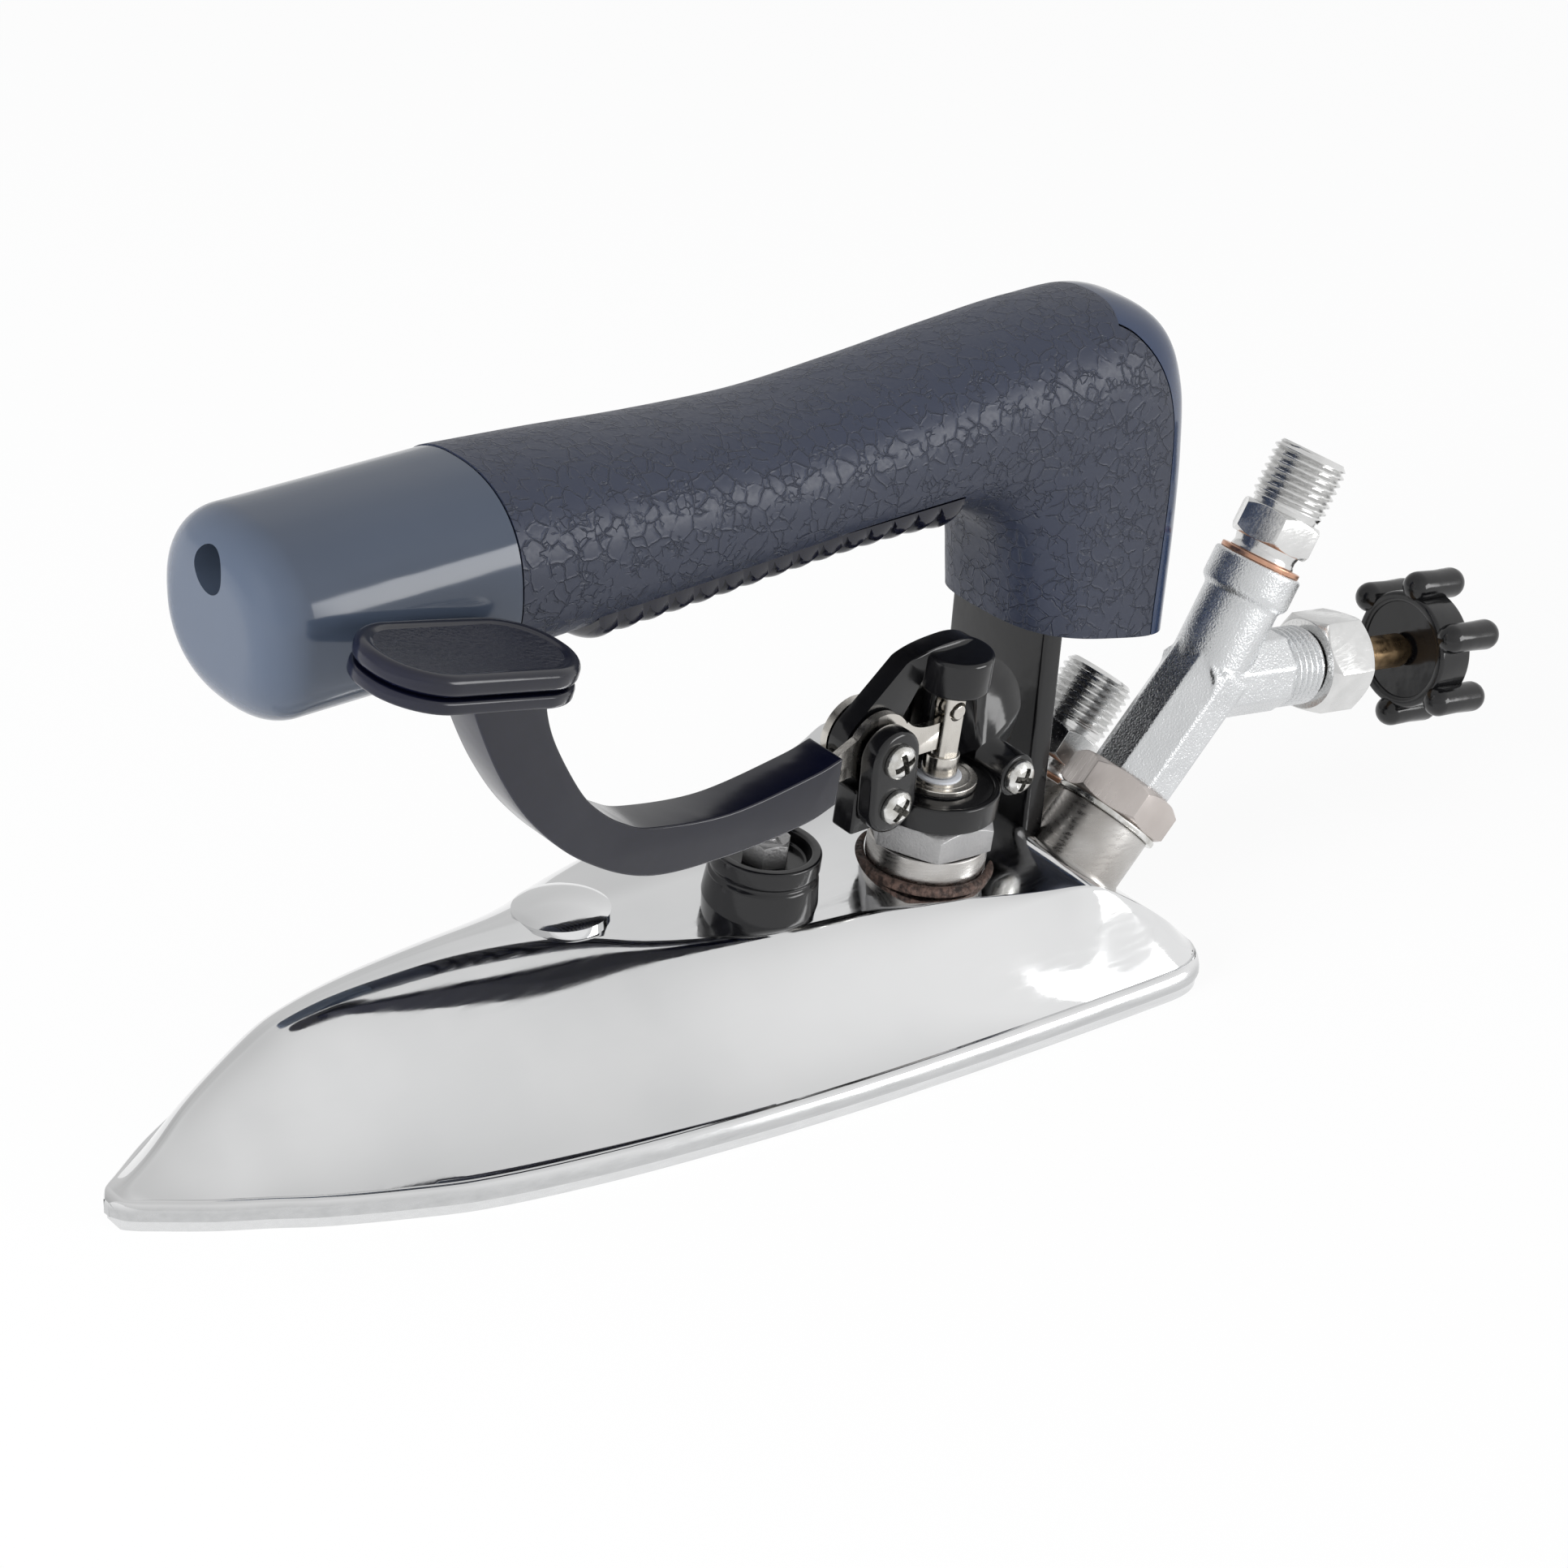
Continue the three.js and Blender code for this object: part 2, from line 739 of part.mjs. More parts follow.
// The braze's rounded top: share of the ring's width, then share of its rise
const weldRingShares = [[1, 0.4], [0.8, 0.85], [0.5, 1], [0.15, 0.8]];

addPiece(valve, 'valve_weld_ring', turned([
  [bossRadius + weldGap, -weldRingDepth],
  [bossRadius + weldRingWidth, -weldRingDepth],
  ...weldRingShares.map(([out, up]) => [
    lerp(bossRadius + weldGap, bossRadius + weldRingWidth, out),
    weldRingRise * up,
  ]),
  [bossRadius + weldGap, weldRingRise / 2],
]).subtract(into(valve, seatForm)), brazed);

// Hexagonal valve body: screwed neck below, spigot above, bored for the spindle
const spindleBore = spindleRadius + runningGap;
addPiece(valve, 'valve_body', hexagon(hexAcross, hexBottom, hexTop, hexChamfer, 'both', hexTurn)
  .add(rod(bossBore - weldGap, -bossDepth / 2, hexBottom + hexChamfer))
  .add(rod(spigotRadius - weldGap, hexTop - hexChamfer, clampTop))
  .subtract(rod(spindleBore, -bossDepth, clampTop + cutOverrun)), castGrey);

// Black clamp ring with the lug that the ear is screwed to
function clampRing() {
  const ring = turned([
    [spigotRadius, clampBottom],
    [clampRadius - clampRound, clampBottom],
    [clampRadius, clampBottom + clampRound],
    [clampRadius, clampTop - clampRound],
    [clampRadius - clampRound, clampTop],
    [spigotRadius, clampTop],
  ]);
  const lug = block(lugLeft, -spigotRadius - clampRound, earBack + runningGap, lugFar,
    clampBottom, lugTop);
  const keepClear = rod(glandRadius + looseGap, clampTop, lugTop + cutOverrun);
  const screwHole = rodAcross(shankRadius + runningGap, earScrewX, earScrewZ,
    earBack - cutOverrun, lugFar - clampRound);
  return ring.add(lug)
    .subtract(keepClear)
    .subtract(rod(spigotRadius, clampBottom - cutOverrun, clampTop + cutOverrun))
    .subtract(screwHole);
}

addPiece(valve, 'valve_clamp_ring', clampRing(), black);

// Gland washer and packing ring round the spindle
addPiece(valve, 'gland_washer', turned([
  [spindleBore, glandBottom],
  [glandRadius, glandBottom],
  [glandRadius, glandTop],
  [packingRadius, glandTop],
  [packingRadius, glandTop - glandHeight / 2],
  [spindleBore, glandTop - glandHeight / 2],
]), nickel);
addPiece(valve, 'packing_ring', turned([
  [spindleBore, glandTop - glandHeight / 2],
  [packingRadius - runningGap, glandTop - glandHeight / 2],
  [packingRadius - runningGap, glandTop + packingHeight / 3],
  [packingRadius - packingHeight, glandTop + packingHeight / 2],
  [spindleBore, glandTop + packingHeight / 2],
]), packing);

// Spindle: collar on the packing, two flats, and a slot that takes the lever plate's tongue
const collarBottom = glandTop + packingHeight / 2 + runningGap;

function spindle() {
  const bar = turned([
    [0, -spindleDepth],
    [spindleRadius, -spindleDepth],
    [spindleRadius, collarBottom],
    [collarRadius, collarBottom],
    [collarRadius, collarTop - packingHeight / 2],
    [collarRadius - packingHeight / 2, collarTop],
    [spindleRadius, collarTop],
    [spindleRadius, spindleTop],
    [0, spindleTop],
  ]);
  const flat = block(-cutOverrun, cutOverrun, spindleFlat, spindleFlat + cutOverrun,
    collarTop, spindleTop + cutOverrun);
  const slot = block(-cutOverrun, cutOverrun, -slotHalfWidth, slotHalfWidth,
    slotBottom, slotTop);
  return bar.subtract(flat)
    .subtract(flat.mirror([0, 1, 0]))
    .subtract(slot)
    .subtract(rodAcross(crossPinRadius + runningGap / 2, 0, crossPinHeight,
      -cutOverrun, cutOverrun));
}

addPiece(valve, 'valve_spindle', spindle(), nickel);
addPiece(valve, 'spindle_cross_pin', rodAcross(crossPinRadius, 0, crossPinHeight,
  -crossPinReach + slotHalfWidth / 2, crossPinReach - slotHalfWidth / 2), nickel);

// Pivot ear: round-ended slab screwed to the lug, carrying the pivot screw
function stadium(x0, z0, r0, x1, z1, r1) {
  const along = new THREE.Vector2(x1 - x0, z1 - z0);
  const heading = along.angle();
  const spread = Math.acos((r0 - r1) / along.length());
  const shape = new THREE.Shape();
  shape.absarc(x0, z0, r0, heading + spread, heading - spread + 2 * Math.PI, false);
  shape.absarc(x1, z1, r1, heading - spread, heading + spread, false);
  return shape;
}

addPiece(valve, 'pivot_ear', slab(
  stadium(earScrewX, earScrewZ, earRadius, pivotX, pivotZ, earRadius), earFront, earBack, earRound)
  .subtract(rodAcross(shankRadius + runningGap, earScrewX, earScrewZ, earFront - cutOverrun, 0))
  .subtract(rodAcross(shankRadius + runningGap, pivotX, pivotZ, earFront - cutOverrun, 0)), black);
addPiece(valve, 'pivot_screw', panScrew(pivotX, pivotZ, earFront, farPlateFar), zinc);
addPiece(valve, 'ear_screw', panScrew(earScrewX, earScrewZ, earFront, lugFar - clampRound * 2),
  zinc);

// Yoke: arch plate behind the spindle with a round head over it, a knuckle on the pivot
// and a screwed lug at the heel side
function yoke() {
  const knuckle = yokeKnuckleRadius;
  const outline = new THREE.Shape();
  outline.absarc(pivotX, pivotZ, knuckle, degrees(knuckleUnderAngle), degrees(knuckleTopAngle),
    true);
  outline.lineTo(-yokeHeadRadius * 1.75, yokeHeadTop - yokeHeadRound);
  outline.quadraticCurveTo(-yokeHeadRadius * 1.2, yokeHeadTop + yokeHeadRound, 0,
    yokeHeadTop + yokeHeadRound);
  outline.quadraticCurveTo(yokeHeadRadius, yokeHeadTop + yokeHeadRound, yokeHeadRadius * 1.7,
    yokeHeadTop - knuckle * 0.75);
  outline.quadraticCurveTo(yokeWidth * 0.92, pivotZ + knuckle * 0.75, yokeWidth * 0.98,
    pivotZ - knuckle * 0.4);
  outline.lineTo(sideLugX + sideLugRadius, sideLugZ);
  outline.absarc(sideLugX, sideLugZ, sideLugRadius, 0, degrees(-180), true);
  outline.lineTo(sideLugX - sideLugRadius, glandTop + yokeFootGap);
  outline.lineTo(-yokeCutRadius, glandTop + yokeFootGap);
  outline.lineTo(-yokeCutRadius, yokeHeadBottom - knuckle * 0.1);
  outline.lineTo(-yokeHeadRadius, yokeHeadBottom + knuckle * 0.3);
  outline.lineTo(pivotX + knuckle * 0.95, pivotZ + knuckle * 0.35);
  outline.absarc(pivotX, pivotZ, knuckle, degrees(knuckleHeelAngle),
    degrees(knuckleUnderAngle - 360), true);
  const plate = slab(outline, yokeFront, yokeBack, 0);
  const head = turned([
    [0, yokeHeadBottom],
    [yokeHeadRadius - yokeHeadRound / 2, yokeHeadBottom],
    [yokeHeadRadius, yokeHeadBottom + yokeHeadRound / 2],
    [yokeHeadRadius, yokeHeadTop - yokeHeadRound],
    [yokeHeadRadius - yokeHeadRound / 3, yokeHeadTop - yokeHeadRound / 3],
    [yokeHeadRadius - yokeHeadRound, yokeHeadTop],
    [0, yokeHeadTop],
  ]);
  const lug = rodAcross(sideLugRadius, sideLugX, sideLugZ, sideLugFront, yokeBack, roundSteps);
  return plate.add(head).add(lug)
    .subtract(rod(yokeCutRadius, -cutOverrun, springWellTop))
    .subtract(rod(clampRadius + looseGap, -cutOverrun, clampTop + looseGap, fineRoundSteps))
    .subtract(rodAcross(shankRadius + runningGap, pivotX, pivotZ, 0, yokeBack + cutOverrun))
    .subtract(rodAcross(shankRadius + runningGap, sideLugX, sideLugZ,
      sideLugFront - cutOverrun, 0));
}

addPiece(valve, 'valve_yoke', yoke(), black);
addPiece(valve, 'side_lug_screw', panScrew(sideLugX, sideLugZ, sideLugFront, -shankRadius), zinc);

// Lever plate: clevis with a near flank whose tongue lifts the cross pin, a web, a tail in
// the thumb lever and a far flank
function leverPlate() {
  const disc = plateDiscRadius;
  const near = new THREE.Shape();
  near.moveTo(plateTongueEnd, plateTongueBottom);
  near.lineTo(plateTongueEnd, plateTongueTop - plateHalf);
  near.quadraticCurveTo(0, plateTongueTop + plateHalf / 2, -plateTongueEnd * 1.5,
    plateTongueTop - plateHalf / 2);
  near.quadraticCurveTo(pivotX / 2, plateTongueTop - plateHalf, pivotX + disc * 0.9,
    pivotZ + disc * 0.55);
  near.absarc(pivotX, pivotZ, disc, degrees(discTopStart), degrees(discTopEnd), false);
  near.lineTo(leverStart, pivotZ - plateHalf + plateTailHalf);
  near.lineTo(plateTailEnd, pivotZ - plateHalf + plateTailHalf);
  near.lineTo(plateTailEnd, pivotZ - plateHalf - plateTailHalf);
  near.lineTo(leverStart, pivotZ - plateHalf - plateTailHalf);
  near.absarc(pivotX, pivotZ, disc, degrees(discUnderStart), degrees(discUnderEnd), false);
  const nearFlank = slab(near, -plateHalf, plateHalf);
  const farFlank = slab(
    stadium(pivotX, pivotZ, disc, farPlateEndX, farPlateEndZ, farPlateEndRadius),
    farPlateNear, farPlateFar,
  ).add(block(plateWebEnd, pivotX, farPlateNear, farPlateFar,
    pivotZ - disc * 0.6, pivotZ + disc * 0.45));
  const web = block(plateWebEnd, plateWebStart, -plateHalf, farPlateFar,
    pivotZ - disc * 0.6, pivotZ + disc * 0.45);
  const pivotHole = rodAcross(shankRadius + runningGap / 2, pivotX, pivotZ,
    -cutOverrun, farPlateFar + cutOverrun, roundSteps);
  const rivetHole = rodAcross(rivetRadius + runningGap, farPlateEndX, farPlateEndZ,
    farPlateNear - cutOverrun / 4, farPlateFar + cutOverrun);
  return joined(nearFlank, farFlank, web).subtract(pivotHole).subtract(rivetHole);
}

addPiece(valve, 'lever_plate', leverPlate(), nickel);
addPiece(valve, 'clevis_rivet', turned([
  [0, -farPlateFar - rivetHead],
  [rivetHeadRadius / 2, -farPlateFar - rivetHead],
  [rivetHeadRadius, -farPlateFar - runningGap],
  [rivetRadius, -farPlateFar - runningGap],
  [rivetRadius, -farPlateNear],
  [0, -farPlateNear],
], smallRoundSteps).rotate([90, 0, 0]).translate([farPlateEndX, 0, farPlateEndZ]), zinc);

// Thumb lever: bar that dips below its joint and rises to the pad, with the pad's base on top
const leverTopShares = [
  [0, 0.175], [0.063, 0.148], [0.222, 0.117], [0.371, 0.153], [0.432, 0.197], [0.483, 0.262],
  [0.525, 0.343], [0.58, 0.5], [0.605, 0.609], [0.612, 0.7],
];
const leverBottomShares = [
  [0.755, 0.75], [0.727, 0.622], [0.674, 0.445], [0.604, 0.278], [0.503, 0.12], [0.37, 0.003],
  [0.21, -0.02], [0.064, -0.003], [0, 0.03],
];

const leverSpot = ([reach, rise]) => new THREE.Vector2(leverStart - leverReach * reach,
  pivotZ - leverDrop + leverRise * rise);

function leverShape() {
  const spot = leverSpot;
  const shape = new THREE.Shape();
  const top = leverTopShares.map(spot);
  const bottom = leverBottomShares.map(spot);
  shape.moveTo(top[0].x, top[0].y);
  shape.splineThru(top.slice(1));
  shape.lineTo(bottom[0].x, bottom[0].y);
  shape.splineThru(bottom.slice(1));
  return shape;
}

function padSlab(thickness, from, bevel, bevelSegments) {
  const seat = leverSpot([padReachShare, padRiseShare]);
  const length = padLength / 2;
  const round = padCornerRadius;
  const shape = new THREE.Shape();
  shape.moveTo(length - round, -padHalfWidth);
  shape.absarc(length - round, -padHalfWidth + round, round, degrees(-90), 0, false);
  shape.absarc(length - round, padHalfWidth - round, round, 0, degrees(90), false);
  shape.absarc(round - length, padHalfWidth - round, round, degrees(90), degrees(180), false);
  shape.absarc(round - length, round - padHalfWidth, round, degrees(180), degrees(270), false);
  const geometry = new THREE.ExtrudeGeometry(shape, {
    depth: thickness - 2 * bevel,
    bevelThickness: bevel,
    bevelSize: bevel,
    bevelOffset: -bevel,
    bevelSegments,
    curveSegments: outlineSteps,
  });
  geometry.translate(0, 0, from + bevel);
  return toSolid(geometry).rotate([0, padTilt, 0]).translate([seat.x, 0, seat.y]);
}

function thumbLever() {
  const bar = slab(leverShape(), -leverHalfWidth, leverHalfWidth, leverBevel, 2);
  const slot = block(plateTailEnd - runningGap, leverStart + cutOverrun,
    -plateHalf - runningGap / 2, plateHalf + runningGap / 2,
    pivotZ - plateHalf - plateTailHalf - runningGap, pivotZ - plateHalf + plateTailHalf + runningGap);
  return bar.subtract(slot).add(padSlab(padBaseThickness, 0, padBevel / 2, 1));
}

addPiece(valve, 'thumb_lever', thumbLever(), navy);
addPiece(valve, 'thumb_pad', padSlab(padThickness, padBaseThickness + seamGap, padBevel, 2),
  leather);

// Handle: a ladder of closed rings between the underside line and the top line, which both
// turn down at the heel to form the column. A share up to 1 is of the grip's reach, from 1 to
// 2 of the column's depth; then comes the share of the height.
const handleTopShares = [
  [0, 1.015], [0.179, 0.99], [0.373, 0.958], [0.567, 0.94], [0.76, 0.957], [0.954, 0.985],
  [1.329, 1], [1.665, 0.985], [1.871, 0.91], [1.974, 0.77], [2, 0.58], [1.99, 0.33], [1.948, 0],
];
const handleUnderShares = [
  [0, 0.5], [0.179, 0.51], [0.373, 0.522], [0.567, 0.535], [0.725, 0.535], [0.831, 0.522],
  [0.902, 0.498], [0.95, 0.455], [0.977, 0.4], [0.987, 0.34], [0.993, 0.27], [0.996, 0.2],
  [1, 0.135],
];
const handleSideShares = [
  [0, 1.09], [0.2, 1.045], [0.4, 1], [0.6, 0.99], [0.75, 0.99], [1, 0.98],
];
const columnStartShare = 0.5;
const columnFullShare = 0.72;

const handlePoint = ([along, up]) => new THREE.Vector3(
  along > 1 ? lerp(columnFront, handleRear, along - 1) : lerp(capSeamX, columnFront, along),
  0,
  lerp(handleBottom, handleTop, up),
);
const topLine = new THREE.CatmullRomCurve3(handleTopShares.map(handlePoint));
const underLine = new THREE.CatmullRomCurve3(handleUnderShares.map(handlePoint));

// A rounded, slightly square ring between two points on the middle plane
function squareRing(top, under, side, squareness) {
  const middle = top.clone().add(under).multiplyScalar(0.5);
  const halfUp = top.clone().sub(under).multiplyScalar(0.5);
  const swell = (value) => Math.sign(value) * Math.abs(value) ** (2 / squareness);
  return Array.from({ length: gripRing }, (_, i) => {
    const angle = 2 * Math.PI * i / gripRing;
    const point = middle.clone().addScaledVector(halfUp, swell(Math.cos(angle)));
    point.y = side * swell(Math.sin(angle));
    return point;
  });
}

// One ring of the grip between its two lines, lowered on the underside by a drop
function gripRung(share, drop = 0) {
  const top = topLine.getPoint(share);
  const under = underLine.getPoint(share);
  const out = under.clone().sub(top).normalize();
  under.addScaledVector(out, drop);
  const side = gripHalfWidth * follow(handleSideShares, share) + drop / 2;
  const blend = THREE.MathUtils.smoothstep(share, columnStartShare, columnFullShare);
  return squareRing(top, under, side, lerp(gripSquareness, columnSquareness, blend));
}

function gripForm(drop = 0) {
  return loft(Array.from({ length: gripStations + 1 }, (_, i) => gripRung(i / gripStations, drop)));
}

// Everything behind the seam of the back cover, with the seam moved forward by a gap
const coverStartShare = 0.56;
const coverRampShare = 0.46;
const coverFullShare = 0.7;

function behindSeam(gap) {
  const count = gripStations;
  const seam = [];
  const outer = [];
  for (let i = 0; i <= count; i += 1) {
    const share = lerp(coverStartShare, 1, i / count);
    const top = topLine.getPoint(share);
    const inward = underLine.getPoint(share).sub(top).normalize();
    const grown = THREE.MathUtils.smoothstep(share, coverRampShare, coverFullShare);
    seam.push(top.clone().addScaledVector(inward, coverDepth * grown + gap));
    outer.push(top.clone().addScaledVector(inward, -cutOverrun));
  }
  const below = new THREE.Vector3(0, 0, -cutOverrun * 2);
  seam.push(seam.at(-1).clone().add(below));
  outer.push(outer.at(-1).clone().add(below));
  const loop = [...seam, ...outer.reverse()].map((point) => new THREE.Vector2(point.x, point.z));
  return slab(new THREE.Shape(loop), -gripHalfWidth * 2, gripHalfWidth * 2);
}

// Ribbed insert under the fingers: a slice of the grip lowered a little, grooved across
const insertFront = capSeamX + insertStart;
const insertBack = columnFront - insertEnd;

function fingerBlock(gap) {
  return block(insertFront - gap, insertBack + gap, -insertHalfWidth - gap, insertHalfWidth + gap,
    handleBottom, handleBottom + insertRise + gap);
}

function fingerInsert() {
  const pitch = (insertBack - insertFront) / insertRibs;
  const bar = gripForm(insertDrop).intersect(fingerBlock(0));
  const under = (x) => lerp(handleBottom, handleTop,
    follow(handleUnderShares, (x - capSeamX) / gripReach)) - insertDrop;
  let ribbed = bar;
  for (let i = 1; i < insertRibs; i += 1) {
    const x = insertFront + pitch * i;
    ribbed = ribbed.subtract(rodAcross(ribGrooveRadius, x, under(x) - ribGrooveRadius / 4,
      -gripHalfWidth, gripHalfWidth, ribGrooveSides));
  }
  return ribbed;
}

// Bracket: crowned plate that leans to the heel and runs up into the column
function bracketForm(gap) {
  const half = bracketHalfWidth + gap;
  const shape = new THREE.Shape();
  shape.moveTo(-gap, -half);
  shape.quadraticCurveTo(-bracketCrown * 2 - gap, 0, -gap, half);
  shape.lineTo(bracketThickness + gap, half);
  shape.lineTo(bracketThickness + gap, -half);
  shape.closePath();
  const length = bracketLength + bracketDepth + gap;
  const geometry = new THREE.ExtrudeGeometry(shape, {
    depth: length,
    bevelEnabled: false,
    curveSegments: roundSteps / 4,
  });
  geometry.translate(0, 0, -bracketDepth);
  return toSolid(geometry);
}

addPiece(iron, 'handle_grip', gripForm()
  .subtract(behindSeam(seamGap))
  .subtract(fingerBlock(seamGap))
  .subtract(outOf(bracketGroup, bracketForm(seamGap))), leather);
addPiece(iron, 'handle_back_cover', gripForm().intersect(behindSeam(0)), coverBlue);
addPiece(iron, 'finger_grip_insert', fingerInsert(), navy);

// The bracket's foot is cut to the deck and round the two bosses
function handleBracket() {
  const besideBoss = (group) => into(bracketGroup, outOf(group,
    rod(fittingBossRadius + weldGap, -deckHeight, inletBossHeight, fineRoundSteps)));
  return bracketForm(0)
    .subtract(into(bracketGroup, seatForm))
    .subtract(besideBoss(inlet))
    .subtract(besideBoss(outlet));
}

addPiece(bracketGroup, 'handle_bracket', handleBracket(), black);

// End cap: glossy front of the handle, rounded over at the front, with a small blind hole
function endCap() {
  const capRing = (x, shrink) => squareRing(
    new THREE.Vector3(x, 0, capTop - shrink),
    new THREE.Vector3(x, 0, capTop - capHeight + shrink),
    capHalfWidth - shrink,
    gripSquareness,
  );
  const rings = [];
  for (let i = 0; i <= capStations; i += 1) {
    const angle = degrees(90) * i / capStations;
    rings.push(capRing(capFront + capRound * (1 - Math.sin(angle)),
      capRound * (1 - Math.cos(angle))));
  }
  rings.reverse();
  rings.push(capRing(capSeamX - seamGap, 0));
  const hole = rod(capHoleRadius, -capHoleDepth, cutOverrun)
    .rotate([0, -90, 0])
    .translate([capFront, 0, capTop - capHoleDrop]);
  return loft(rings).subtract(hole);
}

addPiece(iron, 'handle_end_cap', endCap(), capBlue);

// A tube fitting with flats, bored through, along local Z
function fittingLeg(halfAcross, from, to, sides = 8) {
  const corner = halfAcross / Math.cos(Math.PI / sides);
  const geometry = new THREE.CylinderGeometry(corner, corner, to - from, sides);
  geometry.rotateX(degrees(90));
  geometry.rotateZ(Math.PI / sides);
  geometry.translate(0, 0, (from + to) / 2);
  return toSolid(geometry);
}

function ring(outer, inner, from, to) {
  return turned([[inner, from], [outer, from], [outer, to], [inner, to]]);
}

// A pipe nipple: neck on the copper, hexagon, relief groove and a screwed end, bored
function nipple(from) {
  const hexFrom = from + nippleNeck;
  const hexTo = hexFrom + nippleHexLength;
  const end = hexTo + threadLength;
  const groove = threadRadius - threadDepth;
  return joined(
    ring(nippleNeckRadius, fittingBoreRadius, from, hexFrom + nippleNeck / 2),
    hexagon(nippleHexAcross, hexFrom, hexTo, unionChamfer)
      .subtract(rod(fittingBoreRadius, from, end)),
    turned([
      [fittingBoreRadius, hexTo - nippleNeck / 2],
      [groove, hexTo - nippleNeck / 2],
      [groove, hexTo + threadDepth],
      [threadRadius, hexTo + threadDepth * 2],
      [threadRadius, end - threadDepth],
      [groove, end],
      [fittingBoreRadius, end],
    ]),
  );
}

// Inlet: welded boss, seal washer, union nut and the three-way elbow
const sealBottom = inletBossHeight;
const unionBottom = sealBottom + sealHeight;
const unionTop = unionBottom + unionHeight;
const collarBottomUp = upperLegLength;
const copperBottomUp = collarBottomUp + collarLength;

addPiece(inlet, 'inlet_boss', ring(fittingBossRadius, fittingBoreRadius, -fittingBossDepth,
  inletBossHeight), soleFinish);
addPiece(inlet, 'inlet_seal_washer', ring(sealRadius, fittingBoreRadius, sealBottom,
  sealBottom + sealHeight), zinc);
addPiece(inlet, 'inlet_union_nut', hexagon(unionAcross, unionBottom, unionTop, unionChamfer,
  'both', unionTurn).subtract(rod(fittingBoreRadius, 0, elbowHeight)), castGrey);

function elbow() {
  const lower = fittingLeg(legHalfAcross, unionTop, elbowHeight + legHalfAcross / 3);
  const up = fittingLeg(legHalfAcross * roundLegShare, -legHalfAcross / 2, collarBottomUp,
    roundSteps)
    .add(turned([
      [0, collarBottomUp - collarLength / 4],
      [legHalfAcross * collarNeckShare, collarBottomUp - collarLength / 4],
      [collarHalfAcross, collarBottomUp],
      [collarHalfAcross, copperBottomUp - collarLength / 8],
      [collarHalfAcross - collarLength / 8, copperBottomUp],
      [0, copperBottomUp],
    ]));
  const across = fittingLeg(legHalfAcross * roundLegShare, -legHalfAcross / 2, branchLegLength);
  const threadEnd = branchLegLength + branchThreadLength;
  const thread = turned([
    [0, branchLegLength - threadDepth],
    [branchThreadRadius, branchLegLength - threadDepth],
    [branchThreadRadius, threadEnd - threadDepth],
    [branchThreadRadius - threadDepth, threadEnd],
    [0, threadEnd],
  ]);
  const toInlet = (group, solid) => solid.transform(group.matrix.elements);
  const bores = joined(
    rod(fittingBoreRadius, 0, elbowHeight),
    toInlet(upper, rod(fittingBoreRadius, 0, copperBottomUp + cutOverrun)),
    toInlet(branch, rod(brassRadius + runningGap, 0, threadEnd + cutOverrun)),
  );
  return joined(lower, toInlet(upper, up), toInlet(branch, across), toInlet(branch, thread))
    .subtract(bores);
}

addPiece(inlet, 'inlet_elbow', elbow(), zinc);
addPiece(upper, 'inlet_copper_washer', ring(copperRadius, fittingBoreRadius, copperBottomUp,
  copperBottomUp + copperHeight), copper);
addPiece(upper, 'inlet_nipple', nipple(copperBottomUp + copperHeight), zinc);

// Flow valve on the branch: gland nut, brass spindle and handwheel
const glandStart = branchLegLength + branchThreadLength + looseGap;
const glandEnd = glandStart + glandNutLength;
const lobeStart = wheelStart;
const lobeEnd = lobeStart + lobeLength;
const ringStart = lobeStart + lobeRadius / 2;
const ringEnd = ringStart + wheelRingLength;
const hubEnd = ringStart + wheelHubLength;

addPiece(branch, 'gland_nut', hexagon(glandNutAcross, glandStart, glandEnd, unionChamfer, 'both',
  glandNutTurn).subtract(rod(brassRadius + runningGap, 0, lobeEnd)), zinc);

function flowSpindle() {
  return turned([
    [0, branchLegLength],
    [brassRadius, branchLegLength],
    [brassRadius, ringStart - looseGap],
    [wheelScrewRadius, ringStart - looseGap],
    [wheelScrewRadius, hubEnd - wheelWebThickness],
    [0, hubEnd - wheelWebThickness],
  ], roundSteps).subtract(rod(wheelScrewShank + runningGap, ringStart, lobeEnd));
}

function handwheel() {
  const rim = turned([
    [wheelRingRadius - wheelRingWall, ringStart],
    [wheelRingRadius - wheelRingWall / 2, ringStart],
    [wheelRingRadius, ringStart + wheelRingWall / 2],
    [wheelRingRadius, ringEnd - wheelRingWall / 2],
    [wheelRingRadius - wheelRingWall / 2, ringEnd],
    [wheelRingRadius - wheelRingWall, ringEnd],
  ]);
  const web = turned([
    [wheelScrewRadius + runningGap, ringStart],
    [wheelRingRadius - wheelRingWall / 2, ringStart],
    [wheelRingRadius - wheelRingWall / 2, ringStart + wheelWebThickness],
    [wheelHubRadius, ringStart + wheelWebThickness],
    [wheelHubRadius, hubEnd],
    [wheelScrewShank + runningGap, hubEnd],
    [wheelScrewShank + runningGap, hubEnd - wheelWebThickness + runningGap],
    [wheelScrewRadius + runningGap, hubEnd - wheelWebThickness + runningGap],
  ]);
  const lobes = Array.from({ length: lobeCount }, (_, i) => {
    const geometry = new THREE.CapsuleGeometry(lobeRadius, lobeLength - 2 * lobeRadius,
      lobeCapSteps, lobeSides);
    geometry.rotateX(degrees(90));
    geometry.translate(lobeCircle, 0, (lobeStart + lobeEnd) / 2);
    geometry.rotateZ(2 * Math.PI * i / lobeCount);
    return toSolid(geometry);
  });
  return joined(rim, web, ...lobes);
}

